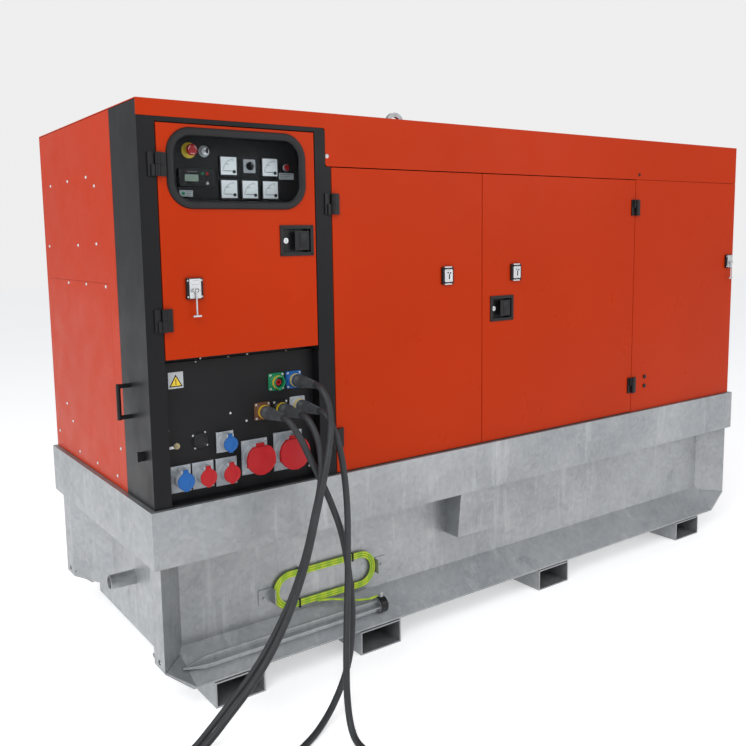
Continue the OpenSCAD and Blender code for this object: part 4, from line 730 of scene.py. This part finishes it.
bm = bmesh.new()
places = [(sx, sz, math.radians(a0 + 90 * k / 16))
          for sx, sz, a0 in ((1, 1, 0), (-1, 1, 90), (-1, -1, 180), (1, -1, 270)) for k in range(17)]
ring = [bm.verts.new(inside_window(*place, *PROFILE[0])) for place in places]
edges = [bm.edges.new((ring[k - 1], ring[k])) for k in range(len(ring))]
# The edge of the window is extruded round the profile and comes back to its start
for inset, y in PROFILE[1:] + PROFILE[:1]:
    grown = bmesh.ops.extrude_edge_only(bm, edges=edges)["geom"]
    new = {g for g in grown if isinstance(g, bmesh.types.BMVert)}
    ring = [next(e.other_vert(v) for e in v.link_edges if e.other_vert(v) in new) for v in ring]
    edges = [bm.edges.get((ring[k - 1], ring[k])) for k in range(len(ring))]
    for place, v in zip(places, ring):
        v.co = inside_window(*place, inset, y)
bmesh.ops.remove_doubles(bm, verts=bm.verts, dist=0.000001)
finish_piece("window_rubber", bm, ["seal"], "control_door", replace=("window_seal",))

# Clamp on the stake's head, and the ties round the coiled lead
bm = bmesh.new()
lathe(bm, (961.5, 35, 174.95), (1, 0, 0),
      [(31, 0), (32.6, 0.4), (33.4, 2), (33.4, 8), (32.2, 9), (32.2, 26), (33.4, 27), (33.4, 33), (32.6, 34.6),
       (31, 35)], 40, 0)
lathe(bm, (979, 35, 204), (0, 0, 1), [(0, 0), (14, 0), (14, 3), (9.4, 3.4), (9.4, 6)], 32, 0)
lathe(bm, (979, 35, 209), (0, 0, 1), [(0, 0), (9.6, 0), (9.6, 17.4), (8.6, 18.6), (0, 18.8)], 6, 1)
for x in (620, 880):
    for s in (-1, 1):
        rbox(bm, (x - 3.4, x + 3.4), (98 - 7.6, 98 + 6.9), (322 + s * 64.4 - 18.2, 322 + s * 64.4 + 18.2), 1.2, 0)
finish_piece("stake_clamp_and_ties", bm, ["blackp", "chrome"], "skid")


def catch_trim(name, x, body):
    bm = bmesh.new()
    z = 1545
    plate(bm, x, z, 42.6, 68, -14.7, -9.0, 3, 1.0, 0)
    plate(bm, x, z + 21, 30, 14, -16.4, -14.2, 3, 1.0, 0)
    plate(bm, x, z - 22, 26, 12, -15.8, -14.2, 3, 0.8, 0)
    for s in (-1, 1):
        rbox(bm, (x + s * 9 - 2.3, x + s * 9 + 2.3), (-26.4, -14), (1533.5, 1545.5), 1.4, 0)
        lathe(bm, (x + s * 11.4, -21, 1539), (s, 0, 0), [(4.4, 0), (4.4, 1.4), (3.2, 2.6), (0, 2.9)], 20, 0)
        for q in (-1, 1):
            screw(bm, (x + s * 25.5, -10, z + q * 28), FRONT, 3.2, 0)
    finish_piece(name, bm, ["chrome"], body)


catch_trim("control_catch_plate", 177, "control_door")
catch_trim("panel_catch_plate", 3413, "skid")


def keyhole_catch(name, x, body):
    """Zinc face of a catch that has no hook: a pressed plate with a slot and two rivets."""
    bm = bmesh.new()
    z = 1545
    plate(bm, x, z, 40, 77, -12.6, -9.6, 3, 1.0, 0)
    plate(bm, x, z, 43, 54, -15.2, -9.6, 4, 1.4, 0)
    plate(bm, x, z, 25, 46, -17.4, -14.8, 5, 1.6, 0)
    plate(bm, x, z - 4, 6.5, 24, -17.9, -16.8, 3, 0.3, 1)
    for dx, dz in ((-6, 13), (7, 11)):
        lathe(bm, (x + dx, -17, z + dz), FRONT, [(4, 0), (4, 0.6), (3, 1.2), (0, 1.3)], 20, 1)
    for q in (-1, 1):
        screw(bm, (x, -12.4, z + q * 32.5), FRONT, 3.4, 0)
    finish_piece(name, bm, ["chrome", "blackp"], body)


keyhole_catch("left_door_catch", 1321, "left_door")
keyhole_catch("right_door_catch", 1725, "right_door")

# Rubber sill under the control door
bm = bmesh.new()
rbox(bm, (65, 675), (50, 55), (1290.2, 1305), 1.2, 0)
rbox(bm, (65, 675), (46.5, 56.5), (1290.1, 1294), 1.0, 0)
finish_piece("door_sill_rubber", bm, ["seal"], "skid")


def lock_trim(name, x, z, body):
    """Raised rim and key cylinder of a paddle latch."""
    bm = bmesh.new()
    lathe(bm, (x - 44, 4, z), FRONT, [(10.6, -0.5), (10.6, 0.8), (9.4, 1.6), (7.4, 1.6), (7.0, 1.0), (0, 1.0)], 32, 0)
    rbox(bm, (x - 44.9, x - 43.1), (2.5, 3.2), (z - 5, z + 5), 0, 1)
    corner_screws(bm, x, -4, z, 64, PADDLE_PLATE_H / 2 - 6.5, 3.2, 1)
    rbox(bm, (x + 10, x + 44), (-2.4, -1.2), (z - 27, z + 27), 0.5, 1)
    finish_piece(name, bm, ["chrome", "blackp"], body)


lock_trim("control_lock", 592, 1702, "control_door")
lock_trim("right_lock", 1643, 1388, "right_door")

for k in ROUTES:
    path, c, turn = cable_path(k)
    cable = finish_piece("power_cable_" + k, tube_bm(path, CABLE_D / 2000), ["cable"],
                         replace=("cable_" + k, "coil_" + k))

# ---------------------------------------------------------------- stage and light
bm = bmesh.new()
bmesh.ops.create_grid(bm, x_segments=1, y_segments=1, size=30)
me = bpy.data.meshes.new("floor")
bm.to_mesh(me)
floor = bpy.data.objects.new("floor", me)
bpy.context.scene.collection.objects.link(floor)
me.materials.append(mat("floor_paper", lambda t, b: t.links.new(
    ramp(t, noise(t, 0.5, 2), [(0.3, 0.92), (0.7, 0.94)]), b.inputs["Base Color"]), rough=0.9,
    Emission_Color=(1, 1, 1, 1), Emission_Strength=0.4))


def area(name, loc, target, size, power):
    d = bpy.data.lights.new(name, "AREA")
    d.shape = "RECTANGLE"
    d.size, d.size_y = size
    d.energy = power
    o = bpy.data.objects.new(name, d)
    bpy.context.scene.collection.objects.link(o)
    o.location = loc
    o.rotation_euler = (Vector(target) - Vector(loc)).to_track_quat("-Z", "Y").to_euler()


area("key", (-5.5, -4.5, 6.0), (0, 0, 1), (5, 4), 330)
area("left", (-6.5, 1.5, 3.0), (-1.5, 0, 1), (4, 4), 120)
area("fill", (3.5, -6.5, 3.5), (0, 0, 1), (6, 4), 150)
world = bpy.data.worlds.new("world")
bpy.context.scene.world = world
world.use_nodes = True
wt = world.node_tree
soft = wt.nodes["Background"]
soft.inputs["Color"].default_value = (0.93, 0.96, 1, 1)
soft.inputs["Strength"].default_value = 0.5
plain = node(wt, "Background")
plain.inputs["Color"].default_value = (0.86, 0.86, 0.86, 1)
ray = node(wt, "LightPath")
both = node(wt, "MixShader")
wt.links.new(ray.outputs["Is Camera Ray"], both.inputs[0])
wt.links.new(soft.outputs[0], both.inputs[1])
wt.links.new(plain.outputs[0], both.inputs[2])
wt.links.new(both.outputs[0], wt.nodes["World Output"].inputs["Surface"])
bpy.context.scene.view_settings.view_transform = "Standard"
